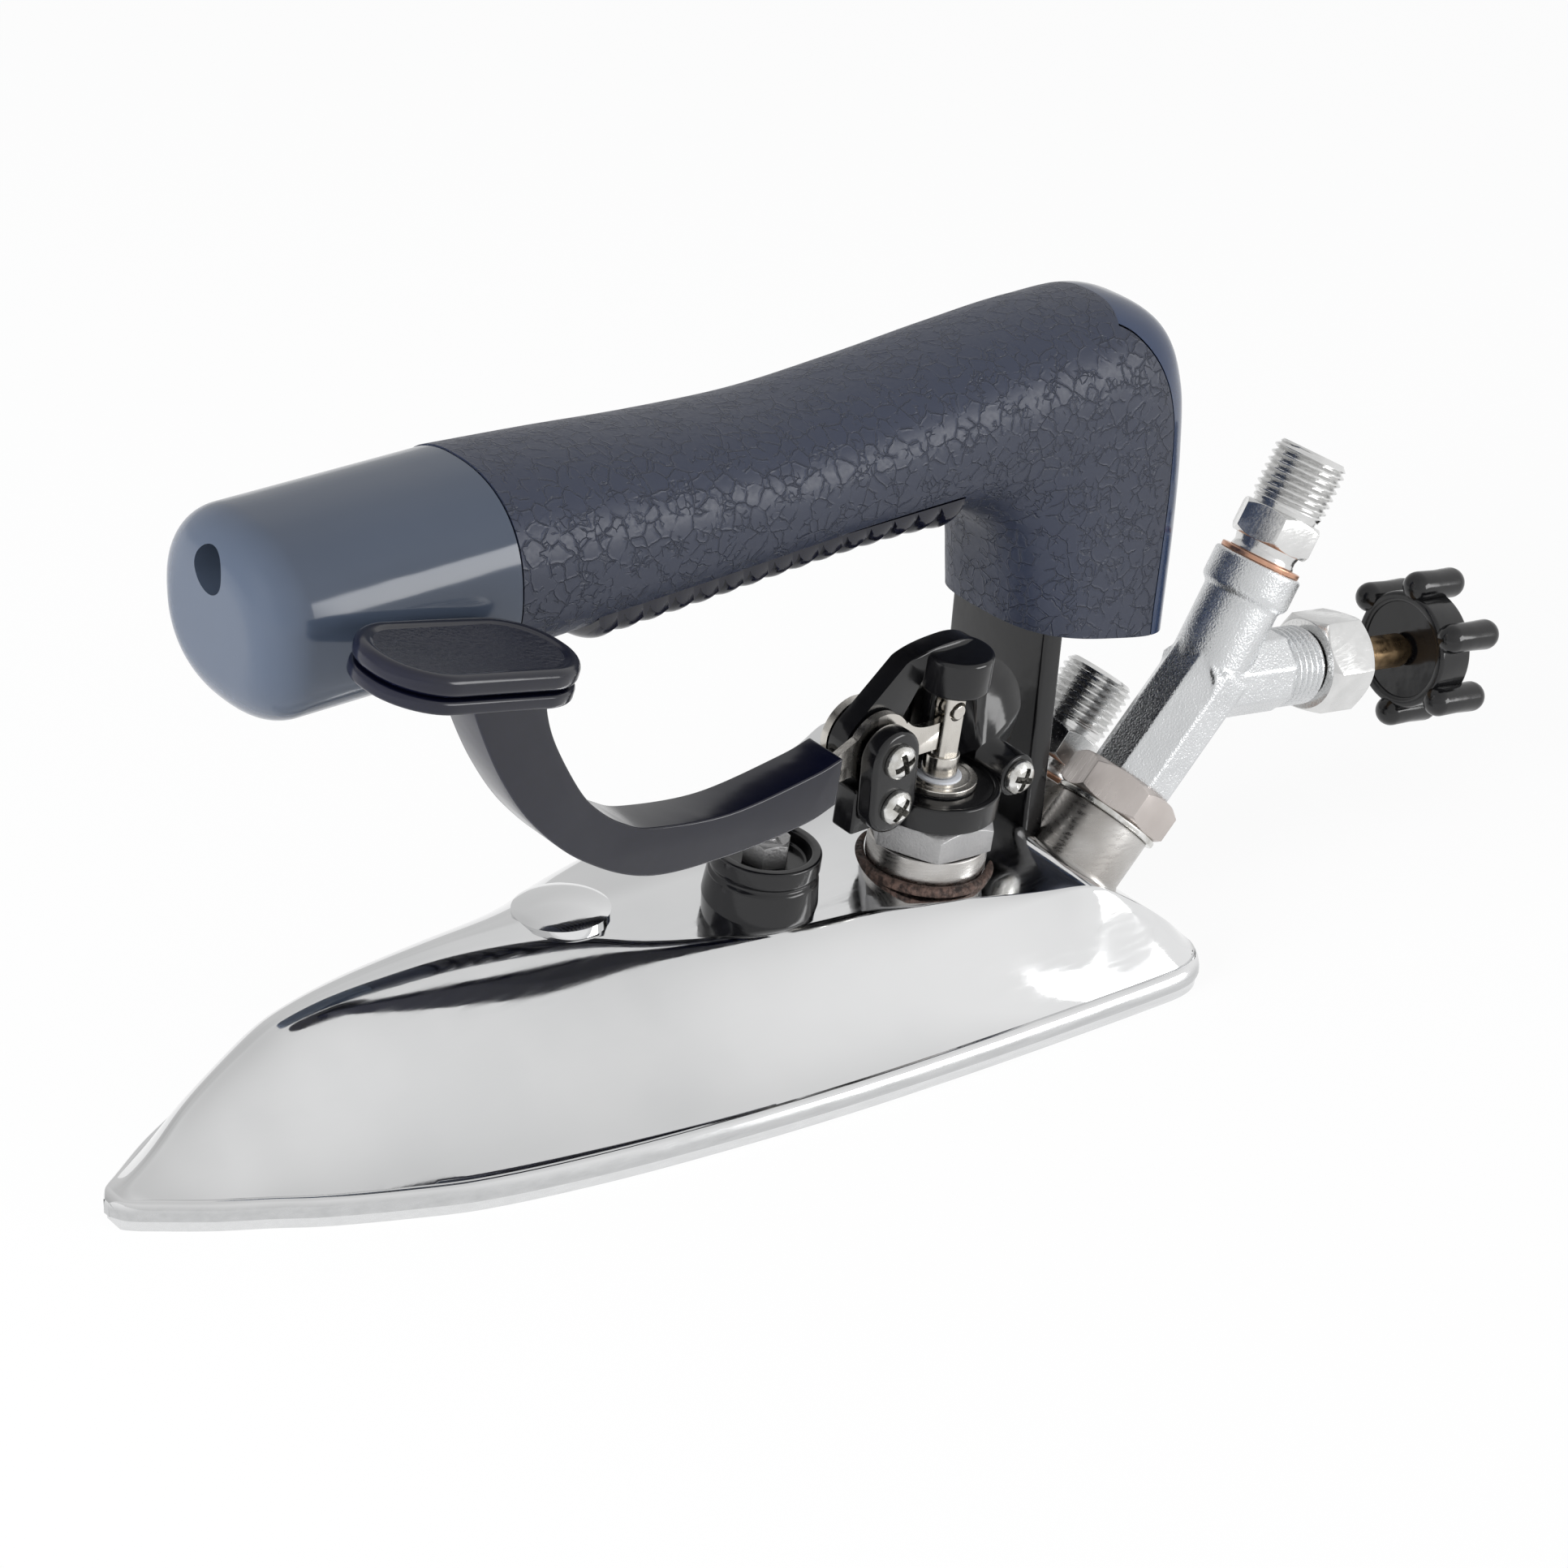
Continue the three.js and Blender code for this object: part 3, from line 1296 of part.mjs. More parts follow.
addPiece(branch, 'flow_spindle', flowSpindle(), brass);
addPiece(branch, 'handwheel', handwheel(), black);
addPiece(branch, 'handwheel_screw', turned([
  [0, ringEnd - wheelRingLength / 2],
  [wheelScrewShank, ringEnd - wheelRingLength / 2],
  [wheelScrewShank, hubEnd],
  [wheelScrewHeadRadius, hubEnd],
  [wheelScrewHeadRadius, hubEnd + wheelScrewHead / 2],
  [wheelScrewRadius, hubEnd + wheelScrewHead],
  [0, hubEnd + wheelScrewHead],
], smallRoundSteps).subtract(block(-wheelScrewHeadRadius * 2, wheelScrewHeadRadius * 2,
  -crossSlotWidth / 2, crossSlotWidth / 2, hubEnd + wheelScrewHead / 2, lobeEnd)), zinc);

// Outlet: welded boss, copper washer and nipple on the far side of the bracket
addPiece(outlet, 'outlet_boss', ring(fittingBossRadius, fittingBoreRadius, -fittingBossDepth,
  outletBossHeight), soleFinish);
addPiece(outlet, 'outlet_copper_washer', ring(copperRadius, fittingBoreRadius, outletBossHeight,
  outletBossHeight + copperHeight), copper);
addPiece(outlet, 'outlet_nipple', nipple(outletBossHeight + copperHeight), zinc);

export default iron;
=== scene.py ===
import bisect
import json
from math import acos, atan2, copysign, cos, hypot, pi, radians, sin

import bpy
from mathutils import Matrix, Vector


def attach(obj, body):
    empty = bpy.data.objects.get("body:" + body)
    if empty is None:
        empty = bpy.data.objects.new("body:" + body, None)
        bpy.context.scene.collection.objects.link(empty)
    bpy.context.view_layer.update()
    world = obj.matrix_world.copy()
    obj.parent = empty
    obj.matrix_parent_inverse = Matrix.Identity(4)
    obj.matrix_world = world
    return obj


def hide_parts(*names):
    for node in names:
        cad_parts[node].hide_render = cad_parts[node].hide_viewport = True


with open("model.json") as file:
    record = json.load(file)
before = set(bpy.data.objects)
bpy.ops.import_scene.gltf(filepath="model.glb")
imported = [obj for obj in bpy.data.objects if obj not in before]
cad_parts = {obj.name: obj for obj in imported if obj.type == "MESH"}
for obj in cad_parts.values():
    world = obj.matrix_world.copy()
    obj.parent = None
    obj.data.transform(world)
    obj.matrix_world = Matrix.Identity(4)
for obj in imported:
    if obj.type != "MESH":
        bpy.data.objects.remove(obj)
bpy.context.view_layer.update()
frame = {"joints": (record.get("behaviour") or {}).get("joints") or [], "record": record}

# The studio
# The iron stands on a pale table under large soft lights, and is seen from the toe side,
# a little above, with a long lens.
photo_side, focal_pixels, sensor_width = 1932, 5500, 36
look_at, eye_distance = Vector((0.01876, -0.01929, 0.050)), 0.7006
azimuth, elevation, roll = radians(-38), radians(28), radians(1.5)
table_reach, table_colour, table_glow = 8, (0.95, 0.95, 0.95), 0.93
white, sky_colour, sky_strength = (1, 1, 1), (0.93, 0.95, 1), 0.29

camera = bpy.data.cameras.new("camera")
camera.sensor_fit = "HORIZONTAL"
camera.sensor_width = sensor_width
camera.lens = sensor_width * focal_pixels / photo_side
eye = bpy.data.objects.new("camera", camera)
bpy.context.scene.collection.objects.link(eye)
eye.matrix_world = (Matrix.Translation(look_at) @ Matrix.Rotation(azimuth, 4, "Z")
                    @ Matrix.Rotation(pi / 2 - elevation, 4, "X")
                    @ Matrix.Rotation(roll, 4, "Z") @ Matrix.Translation((0, 0, eye_distance)))
bpy.context.scene.camera = eye
bpy.context.scene.view_settings.view_transform = "Standard"


class Value:
    """The output of a node. Sums on it add Math nodes."""

    def __init__(self, nodes, socket):
        self.nodes, self.socket = nodes, socket

    def sum(self, operation, *parts):
        return self.nodes.node("Math", {"operation": operation}, parts)

    def __add__(self, other):
        return self.sum("ADD", self, other)

    def __radd__(self, other):
        return self.sum("ADD", other, self)

    def __sub__(self, other):
        return self.sum("SUBTRACT", self, other)

    def __rsub__(self, other):
        return self.sum("SUBTRACT", other, self)

    def __mul__(self, other):
        return self.sum("MULTIPLY", self, other)

    def __rmul__(self, other):
        return self.sum("MULTIPLY", other, self)


class Nodes:
    """The nodes of a finish or of the sky, added one by one."""

    def __init__(self, tree):
        self.tree = tree

    def node(self, kind, settings=None, inputs=(), output=0):
        node = self.tree.nodes.new("ShaderNode" + kind)
        for name, setting in (settings or {}).items():
            setattr(node, name, setting)
        for key, value in inputs.items() if isinstance(inputs, dict) else enumerate(inputs):
            self.feed(node.inputs[key], value)
        return Value(self, node.outputs[output])

    def feed(self, socket, value):
        if isinstance(value, Value):
            self.tree.links.new(value.socket, socket)
        else:
            socket.default_value = (*value, 1) if socket.type == "RGBA" else value

    def rays(self):
        """Marks of the rays from the camera, from mirrors and through glass."""
        return [self.node("LightPath", output="Is " + kind + " Ray")
                for kind in ("Camera", "Glossy", "Transmission")]

    def show(self, output, shader):
        self.feed(self.tree.nodes[output].inputs["Surface"], shader)


class Finish(Nodes):
    """A material of one principled shader, with patterns that lie still on the piece."""

    def __init__(self, name, **constants):
        self.material = bpy.data.materials.new(name)
        self.material.use_nodes = True
        super().__init__(self.material.node_tree)
        self.shader = self.tree.nodes["Principled BSDF"]
        self.place = self.node("TexCoord", output="Object")
        self.set(**constants)

    def set(self, **sockets):
        for name, value in sockets.items():
            self.feed(self.shader.inputs[name.replace("_", " ").title()], value)
        return self.material

    def noise(self, scale, detail=2, rough=0.5, stretch=None):
        place = self.place
        if stretch:
            place = self.node("Mapping", None, {"Vector": place, "Scale": stretch})
        return self.node("TexNoise", None, {"Vector": place, "Scale": scale, "Detail": detail,
                                            "Roughness": rough})

    def band(self, value, low, high, dark=0, light=1):
        return self.node("MapRange", {"interpolation_type": "SMOOTHSTEP"},
                         {"Value": value, "From Min": low, "From Max": high,
                          "To Min": dark, "To Max": light})

    def tint(self, share, first, second):
        return self.node("Mix", {"data_type": "RGBA"}, {0: share, 6: first, 7: second}, 2)

    def relief(self, height, depth):
        return self.node("Bump", None, {"Height": height, "Distance": depth, "Strength": 1.0})

    def coat(self, share, first, second, wear, glossy, dull, height=None, depth=0):
        """Colour between two shades, roughness between two levels and a fine relief."""
        if height:
            self.set(normal=self.relief(height, depth))
        return self.set(base_color=self.tint(share, first, second),
                        roughness=self.band(wear, 0.3, 0.7, glossy, dull))


finish = Finish("table_top", roughness=0.6, base_color=table_colour)
seen, mirrored, through = finish.rays()
share = finish.node("Math", {"operation": "MINIMUM"}, (seen + mirrored + through, 1)) * table_glow
finish.show("Material Output", finish.node("MixShader", None, (
    share, Value(finish, finish.shader.outputs[0]), finish.node("Emission", None, (white, 1)))))
bpy.ops.mesh.primitive_plane_add(size=table_reach)
table = bpy.context.object
table.name = "table"
table.data.materials.append(finish.material)

world = bpy.data.worlds.new("studio")
bpy.context.scene.world = world
world.use_nodes = True
sky = Nodes(world.node_tree)
way = sky.node("TexCoord")


def mirror_loss(axis, start, end, loss):
    """How much darker the room that a mirror shows gets towards one side."""
    side = sky.node("SeparateXYZ", None, (way,), axis)
    return sky.node("MapRange", None, (side, start, end, 0, loss))


shade = (mirror_loss("Z", 0.6, 1, 0.22)
         + (mirror_loss("Y", 0.25, 0.8, 0.3) + mirror_loss("X", 0.1, -0.8, 0.22)))
seen, mirrored, through = sky.rays()
room = sky.node("MixShader", None, (
    mirrored, sky.node("Background", None, (sky_colour, sky_strength)),
    sky.node("Background", None, (white, 1 - shade))))
sky.show("World Output", sky.node("MixShader", None, (
    sky.node("Math", {"operation": "MAXIMUM"}, (seen, through)), room,
    sky.node("Background", None, (white, 1)))))

soft_boxes = {
    "overhead": ((-0.1, -0.2, 1.0), (0.9, 0.6), 1.6, False),
    "toe_side": ((-1.2, -0.15, 0.45), (0.8, 0.8), 26, False),
    "near_side": ((0.78, -1.02, 0.27), (0.7, 0.5), 6.5, True),
}
for name, (spot, (wide, high), power, mirrored_too) in soft_boxes.items():
    lamp = bpy.data.lights.new(name, "AREA")
    lamp.shape = "RECTANGLE"
    lamp.size, lamp.size_y, lamp.energy = wide, high, power
    box = bpy.data.objects.new(name, lamp)
    bpy.context.scene.collection.objects.link(box)
    box.visible_glossy = mirrored_too
    box.location = spot
    box.rotation_euler = (look_at - Vector(spot)).to_track_quat("-Z", "Y").to_euler()

# The pressed body
# One sheet of stainless steel, drawn to a pointed shell with a rolled rim round its foot and
# polished, with a round dome pressed up behind the toe.
sole_length, sole_half_width, sole_thickness = 0.188, 0.044, 0.002
bead_height, bead_round, bead_roll = 0.0052, 0.0015, 0.0027
foot_inset, foot_lift, deck_height = 0.0044, 0.0042, 0.0272
toe_inset_share, toe_rim_share = 0.5, 0.28
foot_inset_share, foot_bead_share = 0.62, 1.2
foot_curve_share, crest_curve_share, crown_power = 0.34, 0.24, 1.4
ease_reach = 0.012
end_steps, body_steps, rim_steps, side_steps, crown_steps = 6, 200, 8, 36, 8
outline_shares = [
    (-0.5, 0.012), (-0.492, 0.075), (-0.4676, 0.158), (-0.4324, 0.263), (-0.392, 0.363),
    (-0.36, 0.448), (-0.3, 0.574), (-0.239, 0.682), (-0.1356, 0.789), (-0.025, 0.866),
    (0.093, 0.925), (0.2186, 0.964), (0.3335, 0.986), (0.435, 0.998), (0.458, 0.992),
    (0.474, 0.966), (0.487, 0.915), (0.495, 0.845), (0.5, 0.76),
]
ridge_shares = [
    (-0.5, -0.03), (-0.49, 0), (-0.4735, 0.09), (-0.454, 0.22), (-0.43, 0.44), (-0.4, 0.64),
    (-0.368, 0.815), (-0.345, 0.925), (-0.32, 0.985), (-0.29, 1.03), (-0.247, 1.06),
    (-0.174, 1.075), (-0.1, 1.05), (0, 1.01), (0.1, 0.995), (0.25, 0.985), (0.35, 0.975),
    (0.368, 0.95), (0.385, 0.875), (0.4255, 0.56), (0.468, 0.235), (0.487, 0.08), (0.5, 0),
]
crest_shares = [
    (-0.5, 0.002), (-0.32, 0.008), (-0.247, 0.015), (-0.174, 0.03), (-0.106, 0.07),
    (-0.06, 0.14), (-0.02, 0.25), (0.04, 0.355), (0.106, 0.435), (0.19, 0.5), (0.266, 0.6),
    (0.33, 0.72), (0.385, 0.82), (0.4255, 0.84), (0.468, 0.82), (0.487, 0.76), (0.5, 0.66),
]
crown_shares = [
    (-0.5, 0.16), (0.1, 0.16), (0.28, 0.155), (0.34, 0.13), (0.385, 0.07), (0.4255, 0.02),
    (0.468, 0.005), (0.5, 0),
]


def follow(table, share):
    """Smooth value of a table of shares at a share along it."""
    keys = [row[0] for row in table]
    i = min(max(bisect.bisect_right(keys, share) - 1, 0), len(keys) - 2)

    def slope(k):
        low, high = max(k - 1, 0), min(k + 1, len(keys) - 1)
        return (table[high][1] - table[low][1]) / (table[high][0] - table[low][0])

    span = keys[i + 1] - keys[i]
    t = min(max((share - keys[i]) / span, 0), 1)
    return ((2 * t**3 - 3 * t**2 + 1) * table[i][1] + (t**3 - 2 * t**2 + t) * span * slope(i)
            + (3 * t**2 - 2 * t**3) * table[i + 1][1] + (t**3 - t**2) * span * slope(i + 1))


def eased(table, share, reach):
    """The same value, averaged over a short reach on both sides."""
    low, high = table[0][0], table[-1][0]
    near = [share + reach * k / 4 for k in range(-4, 5)]
    return sum(follow(table, min(max(s, low), high)) for s in near) / len(near)


def half_width_at(x):
    return sole_half_width * follow(outline_shares, x / sole_length)


def body_side(x, squeeze):
    """Half a cross-section of the body at x, from the bottom edge of the rim to the ridge."""
    share = x / sole_length
    half = max(half_width_at(x), bead_round / 2)
    inset = min(foot_inset, half * toe_inset_share)
    foot_y = half - min(inset * foot_inset_share, bead_round * foot_bead_share)
    end_distance = min(x + sole_length / 2, sole_length / 2 - x) / sole_length
    ease = min(ease_reach, max(end_distance, 0))
    ridge = max(bead_height + (deck_height - bead_height) * eased(ridge_shares, share, ease),
                bead_height)
    crest_y = max(min(sole_half_width * eased(crest_shares, share, ease),
                      foot_y - bead_round / 4), bead_round / 8)
    crest_z = max(ridge - crest_y * follow(crown_shares, share), bead_height)
    reach = foot_y - crest_y
    rim, roll_up = min(bead_round, half * toe_rim_share), min(bead_roll, half)
    points = [(half - rim / 8, sole_thickness), (half, bead_height - roll_up)]
    for i in range(rim_steps + 1):
        angle = pi / 2 * i / rim_steps
        points.append((half - rim * (1 - cos(angle)),
                       bead_height - roll_up * (1 - sin(angle)) - squeeze))
    points += [(half - rim - (half - rim - foot_y) * i / 4, bead_height - squeeze)
               for i in range(1, 4)]
    across = (foot_y, foot_y - reach * foot_curve_share, crest_y + reach * crest_curve_share,
              crest_y)
    lift = min(foot_lift, (crest_z - bead_height) * foot_curve_share)
    rise = (bead_height, bead_height + lift, crest_z, crest_z)
    for i in range(side_steps + 1):
        t = i / side_steps
        weights = ((1 - t)**3, 3 * t * (1 - t)**2, 3 * t * t * (1 - t), t**3)
        points.append((sum(w * a for w, a in zip(weights, across)),
                       sum(w * r for w, r in zip(weights, rise)) - squeeze))
    for i in range(1, crown_steps + 1):
        inward = i / crown_steps
        points.append((crest_y * (1 - inward),
                       crest_z + (ridge - crest_z) * (1 - (1 - inward)**crown_power) - squeeze))
    return [(y, max(z, sole_thickness)) for y, z in points]


def clear_selection():
    if bpy.context.object and bpy.context.object.mode != "OBJECT":
        bpy.ops.object.mode_set(mode="OBJECT")
    bpy.ops.object.select_all(action="DESELECT")


def start_edit():
    bpy.ops.object.mode_set(mode="EDIT")
    bpy.ops.mesh.select_all(action="SELECT")


def end_edit():
    """Turns the faces outwards and leaves edit mode."""
    bpy.ops.mesh.select_all(action="SELECT")
    bpy.ops.mesh.normals_make_consistent(inside=False)
    bpy.ops.object.mode_set(mode="OBJECT")


def drape(rows):
    """A skin over rows of points: a flat grid is moved onto them, merged and closed."""
    clear_selection()
    bpy.ops.mesh.primitive_grid_add(x_subdivisions=len(rows[0]) - 1, y_subdivisions=len(rows) - 1)
    piece = bpy.context.object
    piece.data.vertices.foreach_set("co", [part for row in rows for spot in row for part in spot])
    start_edit()
    bpy.ops.mesh.remove_doubles(threshold=2e-6)
    bpy.ops.mesh.select_all(action="SELECT")
    bpy.ops.mesh.fill_holes(sides=0)
    end_edit()
    return piece


def make_active(piece):
    clear_selection()
    piece.select_set(True)
    bpy.context.view_layer.objects.active = piece


def smooth(piece, angle=35):
    make_active(piece)
    bpy.ops.object.shade_smooth_by_angle(angle=radians(angle))
    return piece


stations = []
for i in range(end_steps):
    angle = pi / 2 * (1 - i / end_steps)
    stations.append((-sole_length / 2 + bead_round * (1 - sin(angle)),
                     bead_round * (1 - cos(angle))))
stations += [(-sole_length / 2 + bead_round + (sole_length - 2 * bead_round)
              * (1 - cos(pi * i / body_steps)) / 2, 0) for i in range(body_steps + 1)]
stations += [(-x, squeeze) for x, squeeze in reversed(stations[:end_steps])]


def body_row(x, squeeze, flat=False):
    side = [(y, sole_thickness if flat else z) for y, z in body_side(x, squeeze)]
    return [(x, -y, z) for y, z in side] + [(x, y, z) for y, z in reversed(side[:-1])]


shell = smooth(drape([body_row(*stations[0], flat=True)]
                     + [body_row(x, squeeze) for x, squeeze in stations]
                     + [body_row(*stations[-1], flat=True)]), 30)

finish = Finish("polished_steel", metallic=1.0)
cloudy = finish.noise(28, 3)
lines = finish.noise(260, 4, 0.6, (0.35, 3.2, 3.2))
fine = finish.noise(900, 2, 0.6, (0.12, 2.5, 2.5))
cross = finish.noise(700, 2, 0.6, (2.2, 0.15, 1.4))
height = finish.node("SeparateXYZ", None, (finish.place,), "Z")
rim_share = finish.band(height, bead_height - 0.0018, bead_height - 0.0002, 1, 0)
sheet = finish.tint(finish.band(cloudy, 0.3, 0.7), (0.70, 0.705, 0.71), (0.76, 0.762, 0.765))
brushed = finish.tint(lines, (0.46, 0.465, 0.47), (0.66, 0.665, 0.67))
steel = finish.set(base_color=finish.tint(rim_share, sheet, brushed),
                   roughness=finish.band(lines, 0.35, 0.7, 0.055, 0.12) + rim_share * 0.16,
                   normal=finish.relief(fine * 0.7 + cross * 0.3, 0.0000025))

# Round dome in the top of the body
# A low dome of the same sheet, pressed up from below behind the toe, with a crisp round edge.
dome_x, dome_radius, dome_rise, dome_edge, dome_power = -0.0104, 0.008, 0.0021, 0.0004, 0.8


def turned(profile, steps=96):
    """A turned piece: radius and height points, joined to a loop and spun about the Z axis."""
    clear_selection()
    bpy.ops.mesh.primitive_circle_add(vertices=len(profile))
    piece = bpy.context.object
    for corner, (radius, height) in zip(piece.data.vertices, profile):
        corner.co = (radius, 0, height)
    start_edit()
    bpy.ops.mesh.spin(steps=steps, angle=2 * pi, center=(0, 0, 0), axis=(0, 0, 1))
    bpy.ops.mesh.select_all(action="SELECT")
    bpy.ops.mesh.remove_doubles(threshold=1e-7)
    bpy.ops.mesh.delete_loose()
    end_edit()
    return piece


def settle(piece, seat):
    """Carries a piece from its seat's own frame into the iron's."""
    piece.data.transform(seat)
    piece.data.update()
    return piece


def join(piece, *others):
    """Makes one object of finished pieces that touch."""
    make_active(piece)
    for other in others:
        other.select_set(True)
    bpy.ops.object.join()
    return piece


record = frame["record"]
body_of = {node: body for body, nodes in record["behaviour"]["bodies"].items() for node in nodes}


def fit(piece, node, finish, seat=Matrix(), second=None, inside=None):
    """Puts a finished piece in its seat, on its node's body and finish. The
    faces whose middle lies inside a place have a second finish."""
    marks = [int(inside(*face.center)) for face in piece.data.polygons] if second else []
    settle(piece, seat)
    piece.name = node + "_made"
    piece.data.materials.clear()
    piece.data.materials.append(finish)
    if second:
        piece.data.materials.append(second)
        piece.data.polygons.foreach_set("material_index", marks)
    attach(piece, body_of[node])
    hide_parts(node)


dome_z = bead_height + (deck_height - bead_height) * follow(ridge_shares, dome_x / sole_length)
profile = [(0, -dome_rise), (dome_radius, -dome_rise), (dome_radius, dome_edge)]
for i in range(1, 12):
    share = 1 - i / 12
    profile.append((dome_radius * share,
                    dome_edge + (dome_rise - dome_edge) * (1 - share**2)**dome_power))
profile.append((0, dome_rise))
dome = smooth(settle(turned(profile), Matrix.Translation((dome_x, 0, dome_z))), 40)
fit(join(shell, dome), "iron_shell", steel)

# Sole plate
# A flat bright steel sheet, cut a little inside the rim of the body, drilled with rows of
# steam holes and ground smooth.
sole_step_in, hole_radius, hole_inset = 0.0008, 0.0016, 0.013
hole_front, hole_back, hole_pairs = -0.068, 0.044, 7
heel_hole_x, heel_hole_pitch = 0.058, 0.012


def slab(outline, near, far):
    """A flat outline in X and Z, given thickness along Y from near to far."""
    clear_selection()
    bpy.ops.mesh.primitive_circle_add(vertices=len(outline), fill_type="NGON")
    piece = bpy.context.object
    for corner, (x, z) in zip(piece.data.vertices, outline):
        corner.co = (x, near, z)
    start_edit()
    bpy.ops.mesh.extrude_region_move(TRANSFORM_OT_translate={"value": (0, far - near, 0)})
    end_edit()
    return piece


def rod(radius, low, high, vertices=64):
    """A round bar along Z."""
    clear_selection()
    bpy.ops.mesh.primitive_cylinder_add(vertices=vertices, radius=radius, depth=high - low)
    return settle(bpy.context.object, Matrix.Translation((0, 0, (low + high) / 2)))


def work(piece, kind, **settings):
    """Gives a piece one modifier and applies it."""
    clear_selection()
    step = piece.modifiers.new("step", kind)
    for name, setting in settings.items():
        setattr(step, name, setting)
    bpy.context.view_layer.objects.active = piece
    bpy.ops.object.modifier_apply(modifier=step.name)
    return piece


def carve(piece, tool, operation="DIFFERENCE"):
    """Cuts a piece with a tool, or keeps what both share, and clears the tool away."""
    work(piece, "BOOLEAN", operation=operation, solver="EXACT", object=tool)
    bpy.data.objects.remove(tool)
    return piece


lying = Matrix(((1, 0, 0, 0), (0, 0, -1, 0), (0, 1, 0, 0), (0, 0, 0, 1)))
edge = [(x, max(half_width_at(x) - sole_step_in, sole_step_in / 2))
        for x, _ in stations if abs(x) < sole_length / 2 - sole_step_in]
sole = settle(slab(edge + [(x, -y) for x, y in reversed(edge)], 0, sole_thickness), lying)
holes = []
for i in range(hole_pairs):
    x = hole_front + (hole_back - hole_front) * i / (hole_pairs - 1)
    y = max(half_width_at(x) - hole_inset, hole_radius * 2)
    holes += [(x, y), (x, -y)]
holes += [(heel_hole_x, row * heel_hole_pitch) for row in (-1, 0, 1)]
for x, y in holes:
    drill = rod(hole_radius, -sole_thickness, sole_thickness * 2, 24)
    carve(sole, settle(drill, Matrix.Translation((x, y, 0))))
finish = Finish("bright_steel", metallic=1.0)
lines = finish.noise(500, 3, 0.6, (0.2, 3, 3))
fit(smooth(sole, 30), "sole_plate", finish.coat(
    lines, (0.66, 0.665, 0.67), (0.8, 0.805, 0.81), lines, 0.16, 0.3, lines, 0.000004))

# Front post
# A black enamelled drum on a tapered foot, which stands square to the deck and is screwed down
# by a nut in its recessed top.
post_place = Vector((0.0212, -0.0104, 0.025))
post_radius, post_height, post_flange, post_groove = 0.0091, 0.0094, 0.0054, 0.0005
post_recess, post_recess_depth, post_depth = 0.0074, 0.0024, 0.004
post_nut_across, post_nut_height, post_nut_chamfer, post_nut_turn = 0.007, 0.0042, 0.0004, 0.2
stud_radius, stud_share = 0.0015, 1.05
hex_edge = 0.00015


def rounded(corners, round_radius, count=5):
    """A closed profile with its corners rounded; a corner may bring its own radius."""
    points = []
    for i, corner in enumerate(corners):
        here = Vector(corner[:2])
        reach = corner[2] if len(corner) > 2 else round_radius
        before = Vector(corners[i - 1][:2]) - here
        after = Vector(corners[(i + 1) % len(corners)][:2]) - here
        reach = min(reach, before.length / 2.05, after.length / 2.05)
        if reach <= 0:
            points.append(tuple(here))
            continue
        start, end = here + before.normalized() * reach, here + after.normalized() * reach
        for k in range(count + 1):
            t = k / count
            points.append(tuple((1 - t)**2 * start + 2 * t * (1 - t) * here + t * t * end))
    return points


def turned_round(corners, round_radius, count=5, steps=96):
    """A smooth turned piece with rounded corners."""
    return smooth(turned(rounded(corners, round_radius, count), steps))


def soften(piece, width, segments=3, angle=30):
    """Rounds the sharp edges of a piece and shades it."""
    work(piece, "BEVEL", width=width, segments=segments, limit_method="ANGLE",
         angle_limit=radians(angle), harden_normals=False, use_clamp_overlap=True)
    return smooth(piece, 40)


def unite(piece, *others):
    """Joins overlapping pieces into one skin."""
    for other in others:
        carve(piece, other, "UNION")
    return piece


def hexagon(across, low, high, chamfers, turn=0, bore=0):
    """A hexagon across its flats with turned chamfers (bottom, top) and a bore."""
    corner = across / 2 / cos(pi / 6)
    clear_selection()
    bpy.ops.mesh.primitive_cylinder_add(vertices=6, radius=corner, depth=high - low,
                                        rotation=(0, 0, turn))
    piece = bpy.context.object
    bpy.ops.object.transform_apply(rotation=True)
    settle(piece, Matrix.Translation((0, 0, (low + high) / 2)))
    far, flat, past = corner * 1.02, across / 2 * 0.985, 0.0004
    foot, head = (far - (far - flat) * (1 + past / depth) if depth else far for depth in chamfers)
    carve(piece, turned([
        (0, low - past), (foot, low - past), (far, low + chamfers[0]), (far, high - chamfers[1]),
        (head, high + past), (0, high + past)], 144), "INTERSECT")
    if bore:
        carve(piece, rod(bore, low - across, high + across))
    return soften(piece, hex_edge, 2, 25)


def seat_on(origin, up, across=Vector((0, 1, 0))):
    """A frame at an origin, with Z along up and Y along across."""
    side = across.cross(up)
    return Matrix.Translation(origin) @ Matrix((side, across, up)).transposed().to_4x4()


def glossy(name, deep, pale, low, high, clouds, dents, depth):
    """A glossy finish, a little cloudy and hardly dented."""
    finish = Finish(name, metallic=0.0)
    cloudy = finish.noise(clouds, 3)
    return finish.coat(cloudy, deep, pale, cloudy, low, high, finish.noise(*dents, 0.4), depth)


